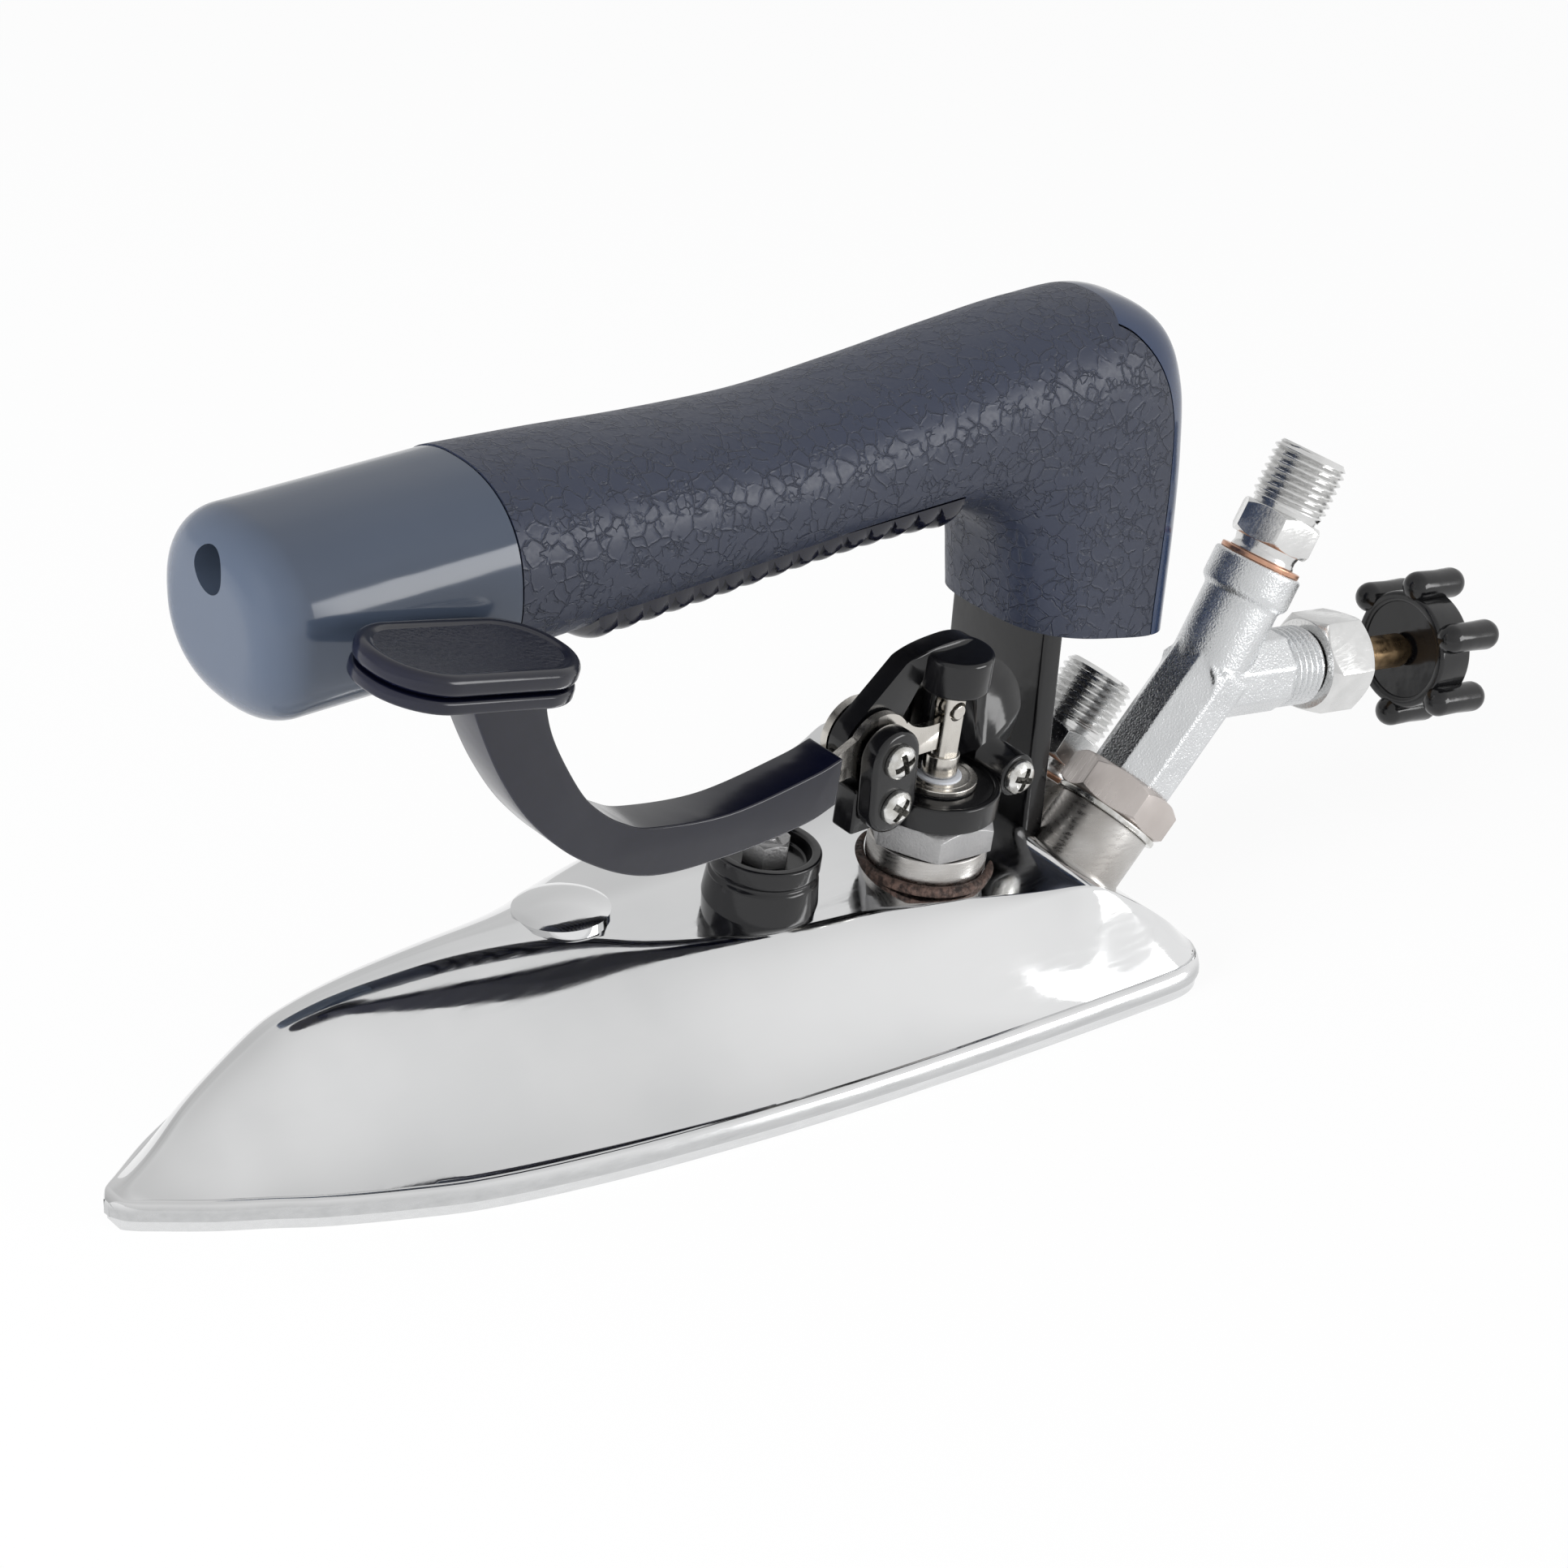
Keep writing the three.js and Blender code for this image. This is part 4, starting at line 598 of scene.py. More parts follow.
black = glossy("gloss_black", (0.003, 0.003, 0.0035), (0.006, 0.006, 0.007), 0.12, 0.22,
               90, (240, 2), 0.00012)
finish = Finish("cast_grey", metallic=0.85)
grains, cloudy = finish.noise(2200, 3, 0.6), finish.noise(160, 4)
grey = finish.coat(cloudy, (0.33, 0.33, 0.34), (0.47, 0.465, 0.46), grains, 0.34, 0.52,
                   grains + cloudy * 0.5, 0.00008)
joints = {joint["name"]: joint for joint in frame["joints"]}
valve_up = Vector(joints["spindle_lift"]["axis"])
valve_across = -Vector(joints["lever_pivot"]["axis"])
post_seat = seat_on(post_place, valve_up, valve_across)
post_foot = post_radius + post_groove
recess_floor = post_height - post_recess_depth
fit(turned_round([
    (0, -post_depth, 0), (post_foot, -post_depth, 0), (post_foot, 0),
    (post_radius, post_flange - post_groove), (post_radius - post_groove, post_flange),
    (post_radius - post_groove, post_flange + post_groove),
    (post_radius, post_flange + 2 * post_groove), (post_radius, post_height),
    (post_recess, post_height), (post_recess - post_groove, recess_floor),
    (0, recess_floor, 0)], 0.0005), "front_post", black, post_seat)
stud_top = recess_floor + post_nut_height * stud_share
nut = hexagon(post_nut_across, recess_floor, recess_floor + post_nut_height,
              (0, post_nut_chamfer), post_nut_turn)
stud = turned_round([(0, recess_floor, 0), (stud_radius, recess_floor, 0), (stud_radius, stud_top),
                     (0, stud_top, 0)], 0.0002)
fit(unite(nut, stud), "front_post_nut", grey, post_seat)

# Valve boss and braze
# A short steel tube brazed into the deck, browned by the heat, with a round bead of braze.
# The joints of the record give its place and lean.
pivot_x, pivot_z = -0.0156, 0.025
boss_radius, boss_bore, boss_top, boss_depth = 0.010, 0.0076, 0.0046, 0.006
bead_width, bead_rise, bead_sink_share, bead_steps = 0.0017, 0.0008, 0.15, 12

valve_place = (Vector(joints["lever_pivot"]["pos_m"]) - pivot_x * valve_across.cross(valve_up)
               - pivot_z * valve_up)
valve_seat = seat_on(valve_place, valve_up, valve_across)
finish = Finish("brushed_boss", metallic=1.0)
lines, heat = finish.noise(420, 4, 0.65, (1, 1, 5)), finish.noise(70, 3)
boss_steel = finish.coat(finish.band(heat, 0.35, 0.7), (0.40, 0.38, 0.36), (0.60, 0.59, 0.575),
                         lines, 0.2, 0.42, lines, 0.00002)
fit(turned_round([(boss_bore, -boss_depth, 0), (boss_radius, -boss_depth, 0),
                  (boss_radius, boss_top), (boss_bore, boss_top)], 0.0003),
    "valve_boss", boss_steel, valve_seat)
profile = [(boss_radius, -bead_rise), (boss_radius + bead_width, -bead_rise)]
for i in range(bead_steps + 1):
    angle = pi * i / bead_steps
    profile.append((boss_radius + bead_width / 2 * (1 + cos(angle)),
                    bead_rise * (sin(angle) - bead_sink_share)))
finish = Finish("heat_brown", metallic=0.35)
lumps = finish.band(finish.noise(750, 4, 0.6), 0.35, 0.65)
grains = finish.noise(1800, 3, 0.7)
brown = finish.coat(lumps, (0.022, 0.015, 0.013), (0.13, 0.085, 0.07), grains, 0.45, 0.8,
                    lumps * 0.5 + grains, 0.00022)
fit(smooth(turned(profile), 60), "valve_weld_ring", brown, valve_seat)

# Valve body, clamp ring and gland
# A cast hexagon with turned chamfers, under a black clamp ring with the lug of the pivot, a
# bright washer and the white packing.
fit_gap, bore_gap = 0.000175, 0.00005
hex_across, hex_height, hex_turn, hex_chamfers = 0.019, 0.0052, radians(24), (0.0002, 0.0015)
spigot, spigot_start, spigot_end = 0.0063, 0.001, 0.0002
clamp_radius, clamp_height, clamp_lip, clamp_groove = 0.0105, 0.0045, 0.0009, 0.0002
gland_radius, gland_height, gland_lip = 0.0064, 0.001, 0.0011
packing_radius, packing_height = 0.0038, 0.0006
spindle_radius = 0.0024
lug_low, lug_high = Vector((-0.0196, -0.001, 0)), Vector((-0.007, 0.0038, 0.0182))
hex_low = boss_top + fit_gap
hex_high = hex_low + hex_height
clamp_low = hex_high + fit_gap
clamp_high = clamp_low + clamp_height
gland_low = clamp_high + fit_gap
gland_high = gland_low + gland_height
gland_floor = gland_high - gland_height / 2
packing_high = gland_high + packing_height / 2


def block(low, high):
    """A box from its low corner to its high one."""
    clear_selection()
    low, high = Vector(low), Vector(high)
    bpy.ops.mesh.primitive_cube_add(size=1)
    return settle(bpy.context.object,
                  Matrix.Translation((low + high) / 2) @ Matrix.Diagonal((*(high - low), 1)))


finish = Finish("bright_nickel", metallic=1.0)
cloudy, lines = finish.noise(200, 4), finish.noise(700, 3, 0.6, (1, 1, 0.25))
nickel = finish.coat(cloudy, (0.50, 0.47, 0.43), (0.70, 0.68, 0.64), lines, 0.16, 0.34,
                     lines, 0.00001)
finish = Finish("white_packing", roughness=0.45)
packing_white = finish.set(base_color=finish.tint(finish.noise(300, 2), (0.80, 0.84, 0.92),
                                                  (0.9, 0.92, 0.96)))
valve_body = unite(
    hexagon(hex_across, hex_low, hex_high, hex_chamfers, hex_turn),
    turned([(0, -boss_depth / 2), (boss_bore, -boss_depth / 2),
            (boss_bore, hex_low + spigot_start), (spigot, hex_low + spigot_start),
            (spigot, clamp_high - spigot_end), (0, clamp_high - spigot_end)]))
carve(valve_body, rod(spindle_radius + bore_gap, -boss_depth, clamp_high * 1.2))
fit(smooth(valve_body), "valve_body", grey, valve_seat)
clamp = turned_round([
    (spigot, clamp_low, 0), (clamp_radius, clamp_low), (clamp_radius, clamp_high),
    (clamp_radius - clamp_lip, clamp_high),
    (clamp_radius - clamp_lip - clamp_groove, clamp_high - 0.00025),
    (clamp_radius - clamp_lip - clamp_groove * 2, clamp_high - clamp_groove),
    (spigot, clamp_high - clamp_groove / 2, 0)], 0.0005)
lug = block((lug_low.x, lug_low.y, clamp_low), lug_high)
carve(lug, rod(gland_radius + 0.0004, clamp_high, lug_high.z * 2))
carve(lug, rod(spigot, 0, lug_high.z))
fit(unite(clamp, soften(lug, 0.0006)), "valve_clamp_ring", black, valve_seat)
fit(turned_round([
    (spindle_radius, gland_low, 0), (gland_radius, gland_low), (gland_radius, gland_high),
    (gland_radius - gland_lip, gland_high),
    (gland_radius - gland_lip - 0.00015, gland_high - 0.00012),
    (gland_radius - gland_lip - 0.0003, gland_high), (packing_radius, gland_high, 0),
    (packing_radius, gland_floor, 0), (spindle_radius, gland_floor, 0)], 0.0002),
    "gland_washer", nickel, valve_seat)
fit(turned_round([
    (spindle_radius, gland_floor, 0), (packing_radius, gland_floor, 0),
    (packing_radius, packing_high), (spindle_radius, packing_high, 0)], 0.0003),
    "packing_ring", packing_white, valve_seat)

# Spindle and cross pin
# A nickel rod with a collar on the packing, two milled flats and a slot for the lever's tongue,
# and a pin pressed across the slot.
collar_radius, collar_gap, collar_high = 0.0029, 0.00015, 0.020
spindle_depth, spindle_high, flat_half = 0.003, 0.033, 0.0019
slot_half, slot_low, slot_high = 0.001, 0.0207, 0.0304
pin_radius, pin_hole, pin_reach, pin_high = 0.0013, 0.0017, 0.0024, 0.0282

collar_low = packing_high + collar_gap
across_y = Matrix.Rotation(-pi / 2, 4, "X")
pin_seat = Matrix.Translation((0, 0, pin_high)) @ across_y
spindle = turned(rounded([
    (0, -spindle_depth, 0), (spindle_radius, -spindle_depth), (spindle_radius, collar_low, 0),
    (collar_radius, collar_low), (collar_radius, collar_high), (spindle_radius, collar_high, 0),
    (spindle_radius, spindle_high), (0, spindle_high, 0)], 0.00035))
for side in (-1, 1):
    near, far = sorted((side * flat_half, side * flat_half * 2))
    carve(spindle, block((-collar_radius, near, collar_high),
                         (collar_radius, far, spindle_high * 1.1)))
carve(spindle, block((-collar_radius, -slot_half, slot_low), (collar_radius, slot_half, slot_high)))
carve(spindle, settle(rod(pin_hole, -collar_radius, collar_radius), pin_seat))
fit(smooth(spindle), "valve_spindle", nickel, valve_seat)
fit(turned_round([(0, -pin_reach, 0), (pin_radius, -pin_reach), (pin_radius, pin_reach),
                  (0, pin_reach, 0)], 0.0003, steps=48),
    "spindle_cross_pin", nickel, valve_seat @ pin_seat)

# Pivot ear and the three pan screws
# A round-ended black ear on the lug's near face, held by two zinc screws; a third screw
# closes the lug of the yoke.
ear_screw_x, ear_screw_z = -0.0148, 0.0164
ear_radius, ear_near, ear_far = 0.005, -0.005, -0.0011
pan_radius, pan_height, pan_edge, shank_radius = 0.003, 0.0019, 0.0006, 0.0015
pan_top_share, pan_shoulder_share, recess_share = 0.62, 0.5, 0.6
cross_width, cross_reach, cross_deep, cross_lip = 0.0011, 0.0021, 0.0013, 0.00015
far_plate_far = 0.00675
side_lug_x, side_lug_z, side_lug_radius, side_lug_near = 0.0134, 0.0142, 0.00375, -0.0052


def stadium(first, second, radius, end_radius=None, count=24):
    """Outline of a bar with two round ends."""
    end_radius = end_radius or radius
    along = Vector(second) - Vector(first)
    heading = atan2(along.y, along.x)
    spread = acos((radius - end_radius) / along.length)
    points = []
    for (x, z), r, start, turn in ((first, radius, heading + spread, 2 * pi - 2 * spread),
                                   (second, end_radius, heading - spread, 2 * spread)):
        for i in range(count + 1):
            angle = start + turn * i / count
            points.append((x + r * cos(angle), z + r * sin(angle)))
    return points


def in_recess(x, y, z):
    return (hypot(x, y) < pan_radius * recess_share
            and pan_height - cross_deep * 1.05 < z < pan_height - cross_lip)


def pan_screw(node, x, z, near, far, turn):
    """A pan head with a cross recess painted dark with grit as painted shade, looking to the near
    side.
    """
    head = turned(rounded([
        (0, 0, 0), (pan_radius, 0), (pan_radius, pan_height * pan_shoulder_share, pan_edge),
        (pan_radius * pan_top_share, pan_height, 0.001), (0, pan_height, 0)], 0.0002, 8), 64)
    for angle in (turn, turn + pi / 2):
        bar = block((-cross_reach, -cross_width / 2, pan_height - cross_deep),
                    (cross_reach, cross_width / 2, pan_height * 2))
        carve(head, settle(bar, Matrix.Rotation(angle, 4, "Z")))
    soften(head, 0.00008, 2, 35)
    unite(head, smooth(rod(shank_radius, near - far, 0.0002, 32)))
    fit(head, node, zinc, valve_seat @ Matrix.Translation((x, near, z)) @ facing_near,
        grit_and_shade, in_recess)


finish = Finish("bright_zinc", metallic=1.0)
cloudy, specks = finish.noise(500, 4), finish.noise(1300, 3, 0.7)
zinc = finish.coat(finish.band(cloudy, 0.3, 0.75), (0.50, 0.49, 0.46), (0.80, 0.80, 0.79),
                   specks, 0.12, 0.3, specks, 0.00002)
# The cross recess is painted near black with a grainy grit: painted shade in the recess, with some
# grime.
finish = Finish("recess_grit_and_shade", metallic=0.6, roughness=0.45)
grit_and_shade = finish.set(base_color=finish.tint(finish.band(finish.noise(2600, 3, 0.7), 0.4, 0.7),
                                         (0.035, 0.033, 0.03), (0.30, 0.29, 0.26)))
facing_near = Matrix.Rotation(pi / 2, 4, "X")
ear = slab(stadium((ear_screw_x, ear_screw_z), (pivot_x, pivot_z), ear_radius), ear_near, ear_far)
fit(soften(ear, 0.0009, 5), "pivot_ear", black, valve_seat)
pan_screw("pivot_screw", pivot_x, pivot_z, ear_near, far_plate_far, 0.35)
pan_screw("ear_screw", ear_screw_x, ear_screw_z, ear_near, 0.0026, 0.95)
pan_screw("side_lug_screw", side_lug_x, side_lug_z, side_lug_near, -shank_radius, 1.25)

# Yoke
# One black casting: a knuckle round the pivot, an arch plate behind the spindle with a round
# head over it, and a screwed lug at the heel side.
yoke_near, yoke_far, yoke_width, knuckle = 0.0014, 0.005, 0.0192, 0.0061
head_radius, head_low, head_high, head_round = 0.0059, 0.0322, 0.0388, 0.0008
spring_well, well_high, foot_gap, clamp_gap = 0.0033, 0.0368, 0.00105, 0.00035


def arc(centre, radius, start, end, count=24):
    """Points of an arc from one angle in degrees to another."""
    angles = [radians(start + (end - start) * i / count) for i in range(count + 1)]
    return [(centre[0] + radius * cos(angle), centre[1] + radius * sin(angle))
            for angle in angles]


def bend(points, control, end, count=12):
    """Adds a curved stretch to an outline, pulled towards a control point."""
    start = points[-1]
    for i in range(1, count + 1):
        t = i / count
        points.append(tuple((1 - t)**2 * a + 2 * t * (1 - t) * b + t * t * c
                            for a, b, c in zip(start, control, end)))


outline = arc((pivot_x, pivot_z), knuckle, 240, 140)
outline.append((-head_radius * 1.75, head_high - head_round))
bend(outline, (-head_radius * 1.2, head_high + head_round), (0, head_high + head_round))
bend(outline, (head_radius, head_high + head_round),
     (head_radius * 1.7, head_high - knuckle * 0.75))
bend(outline, (yoke_width * 0.92, pivot_z + knuckle * 0.75),
     (yoke_width * 0.98, pivot_z - knuckle * 0.4))
outline += arc((side_lug_x, side_lug_z), side_lug_radius, 0, -180)
outline += [(side_lug_x - side_lug_radius, gland_high + foot_gap),
            (-spring_well, gland_high + foot_gap), (-spring_well, head_low - knuckle * 0.1),
            (-head_radius, head_low + knuckle * 0.3),
            (pivot_x + knuckle * 0.95, pivot_z + knuckle * 0.35)]
outline += arc((pivot_x, pivot_z), knuckle, 20, -115)
arch = slab(outline, yoke_near, yoke_far)
carve(arch, rod(spring_well, -0.004, well_high))
carve(arch, rod(clamp_radius + clamp_gap, -0.004, clamp_high + clamp_gap))
soften(arch, 0.0006, 4)
head = turned_round([
    (0, well_high, 0), (spring_well, well_high, 0), (spring_well, head_low, 0),
    (head_radius, head_low), (head_radius, head_high), (0, head_high, 0)], 0.0009, 6)
side_lug = turned_round([
    (0, side_lug_near, 0), (side_lug_radius, side_lug_near), (side_lug_radius, yoke_far, 0),
    (0, yoke_far, 0)], 0.0005, steps=64)
settle(side_lug, Matrix.Translation((side_lug_x, 0, side_lug_z)) @ across_y)
fit(unite(arch, head, side_lug), "valve_yoke", black, valve_seat)

# Lever plate and rivet
# A bright pressed clevis on the pivot screw. Its tongue lifts the cross pin, its tail is
# held in the thumb lever, and a zinc rivet closes its far flank.
plate_half, disc = 0.0007, 0.0062
tongue_end, tongue_high, tongue_low = 0.0016, 0.0266, 0.0213
tail_end, tail_half, tail_drop = -0.034, 0.0017, 0.0015
lever_start, web_start, web_end = -0.0272, -0.0226, -0.0246
far_plate_near, far_end_x, far_end_z, far_end_radius = 0.00535, -0.0008, 0.0254, 0.0036
rivet_radius, rivet_head_radius, rivet_head, rivet_gap = 0.0015, 0.0022, 0.0009, 0.0001

tail_middle = pivot_z - tail_drop
flank_low = pivot_z - disc * 0.6
outline = [(tongue_end, tongue_low), (tongue_end, tongue_high - plate_half)]
bend(outline, (0, tongue_high + plate_half / 2), (-tongue_end * 1.5, tongue_high - plate_half / 2))
bend(outline, (pivot_x / 2, tongue_high - plate_half),
     (pivot_x + disc * 0.9, pivot_z + disc * 0.55))
outline += arc((pivot_x, pivot_z), disc, 31, 150)
outline += [(lever_start, tail_middle + tail_half), (tail_end, tail_middle + tail_half),
            (tail_end, tail_middle - tail_half), (lever_start, tail_middle - tail_half)]
outline += arc((pivot_x, pivot_z), disc, 215, 325)
far_flank = stadium((pivot_x, pivot_z), (far_end_x, far_end_z), disc, far_end_radius)
plate = unite(slab(outline, -plate_half, plate_half),
              slab(far_flank, far_plate_near, far_plate_far),
              block((web_end, far_plate_near, flank_low), (pivot_x, far_plate_far, tail_middle)),
              block((web_end, -plate_half, flank_low), (web_start, far_plate_far, tail_middle)))
fit(soften(plate, 0.0003, 2), "lever_plate", nickel, valve_seat)
fit(turned_round([
    (0, -far_plate_far - rivet_head, 0), (rivet_head_radius, -far_plate_far - rivet_head, 0.0008),
    (rivet_head_radius, -far_plate_far - rivet_gap), (rivet_radius, -far_plate_far - rivet_gap, 0),
    (rivet_radius, -far_plate_near, 0), (0, -far_plate_near, 0)], 0.0001, steps=48),
    "clevis_rivet", zinc,
    valve_seat @ Matrix.Translation((far_end_x, 0, far_end_z)) @ facing_near)

# Thumb lever
# A glossy navy moulding: a bar that dips below its joint and rises to the pad, with the
# base of the pad on its end.
lever_reach, lever_rise, lever_drop = 0.105, 0.058, 0.007
lever_half_width, lever_round = 0.004, 0.0009
pad_tilt, pad_seat_shares = radians(11.7), (0.739, 0.7276)
pad_length, pad_half_width, pad_corner = 0.0370, 0.010, 0.0096
pad_base, base_edge, base_share = 0.0022, 0.0006, 0.6
lever_top_shares = [
    (0, 0.175), (0.063, 0.148), (0.222, 0.117), (0.371, 0.153), (0.432, 0.197), (0.483, 0.262),
    (0.525, 0.343), (0.58, 0.5), (0.605, 0.609), (0.612, 0.7),
]
lever_bottom_shares = [
    (0.755, 0.75), (0.727, 0.622), (0.674, 0.445), (0.604, 0.278), (0.503, 0.12),
    (0.37, 0.003), (0.21, -0.02), (0.064, -0.003), (0, 0.03),
]


def along(points, share, evenness=0.5):
    """A point at a share of a smooth line through points."""
    spots = [2 * points[0] - points[1], *points, 2 * points[-1] - points[-2]]
    place = min(max(share, 0), 1) * (len(points) - 1)
    i = min(int(place), len(points) - 2)
    t = place - i
    a, b, c, d = spots[i:i + 4]
    before, here, after = ((q - p).length**evenness for p, q in ((a, b), (b, c), (c, d)))
    leave = ((b - a) / before - (c - a) / (before + here) + (c - b) / here) * here
    reach = ((c - b) / here - (d - b) / (here + after) + (d - c) / after) * here
    return (b + leave * t + (3 * c - 3 * b - 2 * leave - reach) * t * t
            + (2 * b - 2 * c + leave + reach) * t**3)


def lever_spot(reach, rise):
    return Vector((lever_start - lever_reach * reach, pivot_z - lever_drop + lever_rise * rise))


def smooth_line(shares, count=90):
    spots = [lever_spot(*share) for share in shares]
    return [tuple(along(spots, i / count, 0)) for i in range(count + 1)]


def pad_ring(inset, height, shrink=1, count=14):
    """One ring of the pad's rounded outline, drawn in by an inset or shrunk to the middle."""
    reach = pad_corner - inset
    points = []
    for quarter in range(4):
        middle_x = (pad_length / 2 - pad_corner) * (1, 1, -1, -1)[quarter]
        middle_y = (pad_half_width - pad_corner) * (-1, 1, 1, -1)[quarter]
        for i in range(count + 1):
            angle = pi / 2 * (quarter - 1 + i / count)
            points.append(((middle_x + reach * cos(angle)) * shrink,
                           (middle_y + reach * sin(angle)) * shrink, height))
    return points + points[:1]


def over_edge(low, high, edge, count=6):
    """Rings up a side whose two edges are rounded."""
    angles = [pi / 2 * i / count for i in range(count + 1)]
    return ([pad_ring(edge * (1 - sin(angle)), low + edge * (1 - cos(angle)))
             for angle in angles]
            + [pad_ring(edge * (1 - cos(angle)), high - edge * (1 - sin(angle)))
               for angle in angles])


navy = glossy("gloss_navy", (0.003, 0.0035, 0.011), (0.005, 0.006, 0.016), 0.12, 0.2,
              60, (140, 2), 0.0001)
lever = slab(smooth_line(lever_top_shares) + smooth_line(lever_bottom_shares),
             -lever_half_width, lever_half_width)
settle(soften(lever, lever_round, 4), valve_seat)
pad_spot = lever_spot(*pad_seat_shares)
pad_seat = (valve_seat @ Matrix.Translation((pad_spot.x, 0, pad_spot.y))
            @ Matrix.Rotation(pad_tilt, 4, "Y"))
base = drape([pad_ring(0, 0, 0), pad_ring(base_edge, 0, base_share)]
             + over_edge(0, pad_base, base_edge, 4)
             + [pad_ring(base_edge, pad_base, base_share), pad_ring(0, pad_base, 0)])
unite(lever, smooth(settle(base, pad_seat)))
fit(smooth(lever, 40), "thumb_lever", navy)

# Thumb pad
# A moulded pad on the lever's end: a smooth rim round a dished top with fine grain.
# It is pressed onto the base with a fine seam between the two.
seam_gap, pad_thickness, pad_edge = 0.0003, 0.0034, 0.0013
rim_width, rim_fall, dish_depth, dish_power = 0.0026, 0.0004, 0.0014, 1.3
rim_rings, dish_rings = 4, 24

pad_low = pad_base + seam_gap
pad_high = pad_low + pad_thickness
rings = [pad_ring(0, pad_low, 0)] + over_edge(pad_low, pad_high, pad_edge)
for i in range(1, rim_rings + 1):
    share = i / rim_rings
    rings.append(pad_ring(pad_edge + (rim_width - pad_edge) * share,
                          pad_high - rim_fall * share * share))
for i in range(1, dish_rings + 1):
    share = 1 - i / dish_rings
    rings.append(pad_ring(rim_width, pad_high - rim_fall - (dish_depth - rim_fall)
                          * (1 - share * share)**dish_power, share))


def in_dish(x, y, z):
    corner_x = max(abs(x) - (pad_length / 2 - pad_corner), 0)
    corner_y = max(abs(y) - (pad_half_width - pad_corner), 0)
    return (hypot(corner_x, corner_y) < pad_corner - rim_width
            and z > pad_low + pad_thickness / 2)


finish = Finish("pad_grain", metallic=0.0)
wrinkles, cloudy = finish.noise(1300, 3, 0.55), finish.noise(260, 2)
grain = finish.coat(wrinkles, (0.003, 0.004, 0.012), (0.008, 0.01, 0.022), cloudy, 0.34, 0.46,
                    wrinkles, 0.00035)
fit(smooth(drape(rings), 60), "thumb_pad", navy, pad_seat, grain, in_dish)

# Handle bracket
# A black enamelled steel plate, crowned on its toe side, that stands between the two bosses
# of the fittings and carries the handle.
bracket_place, bracket_lean = Vector((0.0759, 0, 0.019)), radians(3.7)
bracket_half_width, bracket_thickness, bracket_crown = 0.012, 0.0041, 0.0011
bracket_length, bracket_depth = 0.052, 0.004
fitting_boss_radius, inlet_boss_height, outlet_boss_height = 0.0086, 0.0098, 0.0106
weld_gap = 0.0003
wheel_joint_height, elbow_height, inlet_lean = 0.050, 0.0386, radians(44.7)
outlet_face_height, face_ring_radius = 0.0313, 0.00466


def bracket_form(gap=0):
    """The bracket's plate, grown by a gap."""
    half = bracket_half_width + gap
    outline = [(-gap, -half)]
    bend(outline, (-bracket_crown * 2 - gap, 0), (-gap, half), 24)
    outline += [(bracket_thickness + gap, half), (bracket_thickness + gap, -half)]
    return settle(slab(outline, -bracket_depth, bracket_length + gap), lying)


def leaning(angle):
    return Vector((sin(angle), 0, cos(angle)))


mounts = {mount["name"]: mount for mount in record["mounts"]}
branch_up = Vector(joints["handwheel_turn"]["axis"])
elbow_place = Vector(joints["handwheel_turn"]["pos_m"]) - wheel_joint_height * branch_up
inlet_seat = seat_on(elbow_place - elbow_height * leaning(inlet_lean), leaning(inlet_lean))
outlet_up = Vector(mounts["steam_outlet"]["axis"])
outlet_seat = seat_on(Vector(mounts["steam_outlet"]["pos_m"]) - outlet_face_height * outlet_up
                      - Vector((0, face_ring_radius, 0)), outlet_up)
bracket_seat = seat_on(bracket_place, leaning(bracket_lean))
bracket = settle(soften(bracket_form(), 0.0007, 4, 50), bracket_seat)
for seat in (inlet_seat, outlet_seat):
    carve(bracket, settle(rod(fitting_boss_radius + weld_gap, -deck_height, inlet_boss_height, 96),
                          seat))
fit(smooth(bracket, 40), "handle_bracket", black)

# Handle grip
# A navy moulding with a leather grain. Its column stands on the bracket at the heel and the
# grip reaches forward to the cap.
column_front, handle_rear, cap_seam_x = 0.0736, 0.108601, -0.029
handle_bottom, handle_top, grip_half_width = 0.050, 0.1103, 0.016
grip_squareness, column_squareness = 2.35, 3.1
column_start, column_full = 0.5, 0.72
cover_start, cover_ramp, cover_full, cover_depth = 0.56, 0.46, 0.7, 0.0078
insert_start, insert_end, insert_rise, insert_half_width = 0.016, 0.0156, 0.037, 0.0138
handle_top_shares = [
    (0, 1.015), (0.179, 0.99), (0.373, 0.958), (0.567, 0.94), (0.76, 0.957), (0.954, 0.985),
    (1.329, 1), (1.665, 0.985), (1.871, 0.91), (1.974, 0.77), (2, 0.58), (1.99, 0.33),
    (1.948, 0),
]
handle_under_shares = [
    (0, 0.5), (0.179, 0.51), (0.373, 0.522), (0.567, 0.535), (0.725, 0.535), (0.831, 0.522),
    (0.902, 0.498), (0.95, 0.455), (0.977, 0.4), (0.987, 0.34), (0.993, 0.27), (0.996, 0.2),
    (1, 0.135),
]
handle_side_shares = [(0, 1.09), (0.2, 1.045), (0.4, 1), (0.6, 0.99), (0.75, 0.99), (1, 0.98)]


def lerp(low, high, share):
    return low + (high - low) * share


def eased_step(value, low, high):
    share = min(max((value - low) / (high - low), 0), 1)
    return share * share * (3 - 2 * share)


def handle_spot(forward, up):
    x = lerp(column_front, handle_rear, forward - 1) if forward > 1 \
        else lerp(cap_seam_x, column_front, forward)
    return Vector((x, 0, lerp(handle_bottom, handle_top, up)))


def square_ring(top, under, side, squareness, count=96):
    """A rounded, slightly square ring between a top and an under point."""
    def swell(value):
        return copysign(abs(value)**(2 / squareness), value)

    points = []
    for i in range(count):
        angle = 2 * pi * i / count
        spot = (top + under) / 2 + (top - under) / 2 * swell(cos(angle))
        points.append((spot.x, side * swell(sin(angle)), spot.z))
    return points + points[:1]


